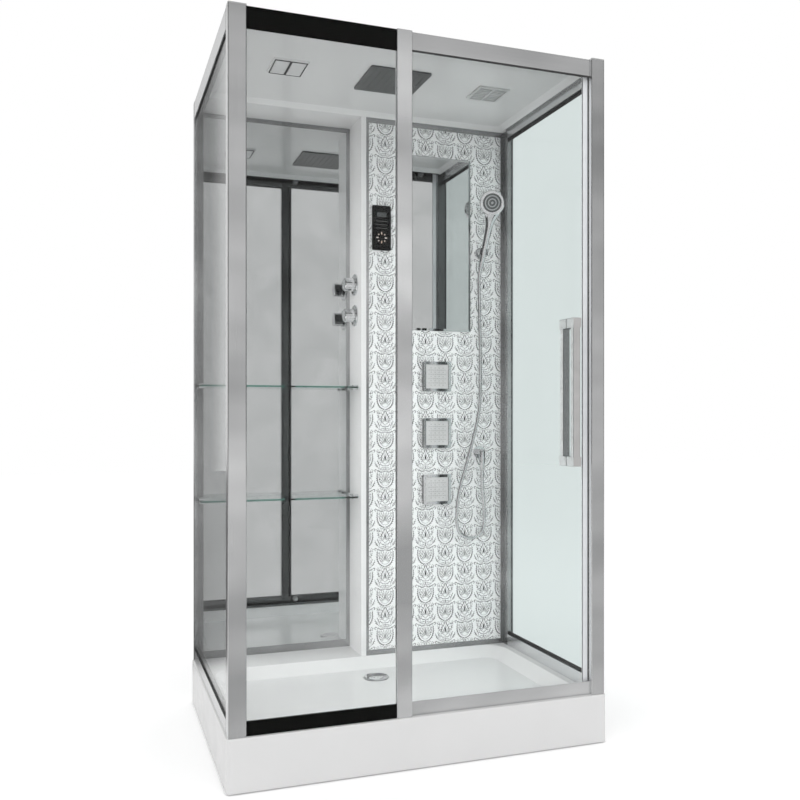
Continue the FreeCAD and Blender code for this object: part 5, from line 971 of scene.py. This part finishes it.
def light_path(tree):
    """A light path's outputs, and masks for what is seen straight or through glass and what is mirrored."""
    path = tree.nodes.new("ShaderNodeLightPath").outputs
    unscattered = math_node(tree, "LESS_THAN", path["Diffuse Depth"], HALF_BOUNCE)
    bounced = math_node(tree, "GREATER_THAN", path["Glossy Depth"], HALF_BOUNCE)
    sharp = math_node(tree, "MAXIMUM", path["Is Glossy Ray"], path["Is Transmission Ray"])
    mirrored = math_node(tree, "MULTIPLY", math_node(tree, "MULTIPLY", unscattered, sharp), bounced)
    seen = math_node(tree, "MAXIMUM", path["Is Camera Ray"], path["Is Transmission Ray"])
    straight = math_node(tree, "MULTIPLY", seen, unscattered)
    return path, straight, mirrored


def split_axes(tree, source):
    """The three parts of a vector."""
    split = tree.nodes.new("ShaderNodeSeparateXYZ")
    tree.links.new(source, split.inputs["Vector"])
    return split.outputs


def floor_material():
    """White to the eye; mirrors see pale front and dark back in it, and it lights what is behind glass."""
    material, shader = finish("studio_floor", grey(FLOOR_TONE), 0.9)
    tree = material.node_tree
    path, straight, mirrored = light_path(tree)
    place = split_axes(tree, tree.nodes.new("ShaderNodeNewGeometry").outputs["Position"])
    ahead = eased(tree, place["Y"], FLOOR_AHEAD, FALLING)
    beyond = eased(tree, place["Y"], FLOOR_BEYOND, RISING)
    before = math_node(tree, "MULTIPLY", mirrored, math_node(tree, "ADD", ahead, beyond))
    wire(material, shader, "Base Color", tones(material, before, grey(FLOOR_TONE), grey(0.0)))
    shader.inputs["Specular IOR Level"].default_value = 0.0
    shader.inputs["Emission Color"].default_value = WHITE
    lift = eased(tree, straight, RISING, (0.0, FLOOR_LIFT))
    scattered = math_node(tree, "GREATER_THAN", path["Diffuse Depth"], HALF_BOUNCE)
    through = math_node(tree, "MULTIPLY", scattered, path["Is Transmission Ray"])
    bounce = level_mix(tree, through, lift, FLOOR_BOUNCE)
    far_level = level_mix(tree, beyond, VIEW_FRONT, VIEW_BEHIND)
    wire(material, shader, "Emission Strength", level_mix(tree, before, bounce, far_level))
    return material


def floor():
    """Pale studio floor that carries the cabin's soft shadow."""
    form = bmesh.new()
    bmesh.ops.create_grid(form, x_segments=1, y_segments=1, size=FLOOR_HALF)
    mesh = bpy.data.meshes.new("studio_floor")
    form.to_mesh(mesh)
    form.free()
    mesh.materials.append(floor_material())
    made = bpy.data.objects.new("studio_floor", mesh)
    bpy.context.scene.collection.objects.link(made)


def mirrored_view(tree, direction):
    """What metal and mirrors see: a pale front, a dark strip behind, dark flags beside and above."""
    aside = math_node(tree, "ABSOLUTE", math_node(tree, "DIVIDE", direction["X"], direction["Y"]))
    behind = eased(tree, aside, BEHIND_EDGE, (VIEW_BEHIND, VIEW_WHITE))
    around = level_mix(tree, eased(tree, direction["Y"], FRONT_TO_BACK, RISING), VIEW_FRONT, behind)
    side_flag = eased(tree, math_node(tree, "ABSOLUTE", direction["X"]), SIDE_FLAG, RISING)
    band_start = eased(tree, direction["Z"], HIGH_BAND_START, RISING)
    band_end = eased(tree, direction["Z"], HIGH_BAND_END, FALLING)
    high_band = math_node(tree, "MULTIPLY", band_start, band_end)
    return level_mix(tree, math_node(tree, "MAXIMUM", side_flag, high_band), around, VIEW_FLAG)


def studio_world():
    """Even soft light, white to the eye, stronger through glass; mirrors have a view of their own."""
    world = bpy.data.worlds.new("studio")
    world.use_nodes = True
    bpy.context.scene.world = world
    tree = world.node_tree
    background = tree.nodes["Background"]
    background.inputs["Color"].default_value = WHITE
    path, straight, mirrored = light_path(tree)
    direction = split_axes(tree, tree.nodes.new("ShaderNodeTexCoord").outputs["Generated"])
    sky = eased(tree, direction["Z"], (-1.0, 1.0), [LIGHT_LEVEL * share for share in SKY_SHARES])
    gain = eased(tree, path["Is Transmission Ray"], RISING, (1.0, LIGHT_THROUGH_GAIN))
    lit = level_mix(tree, straight, math_node(tree, "MULTIPLY", sky, gain), VIEW_WHITE)
    strength = level_mix(tree, mirrored, lit, mirrored_view(tree, direction))
    tree.links.new(strength, background.inputs["Strength"])


def softbox(name, place, aim, size, power):
    """Large soft lamp that points at a place."""
    data = bpy.data.lights.new(name, "AREA")
    data.shape = "SQUARE"
    data.size = size
    data.energy = power
    made = bpy.data.objects.new(name, data)
    made.location = place
    made.rotation_euler = (Vector(aim) - Vector(place)).to_track_quat("-Z", "Y").to_euler()
    bpy.context.scene.collection.objects.link(made)


camera()
dress_nodes()
shower_hose(chrome("hose_chrome", 0.1, 0.2))
panel_print(silver_print())
lamp_trims(moulded_plastic("trim_plastic", grey(0.045), grey(0.07)))
jet_tips(moulded_plastic("tip_plastic", grey(0.3), grey(0.38)))
touch_panel()
floor()
studio_world()
softbox("overhead_softbox", SOFTBOX_PLACE, SOFTBOX_AIM, SOFTBOX_SIZE, SOFTBOX_POWER)

bpy.context.scene.view_settings.view_transform = "Standard"
bpy.context.view_layer.update()
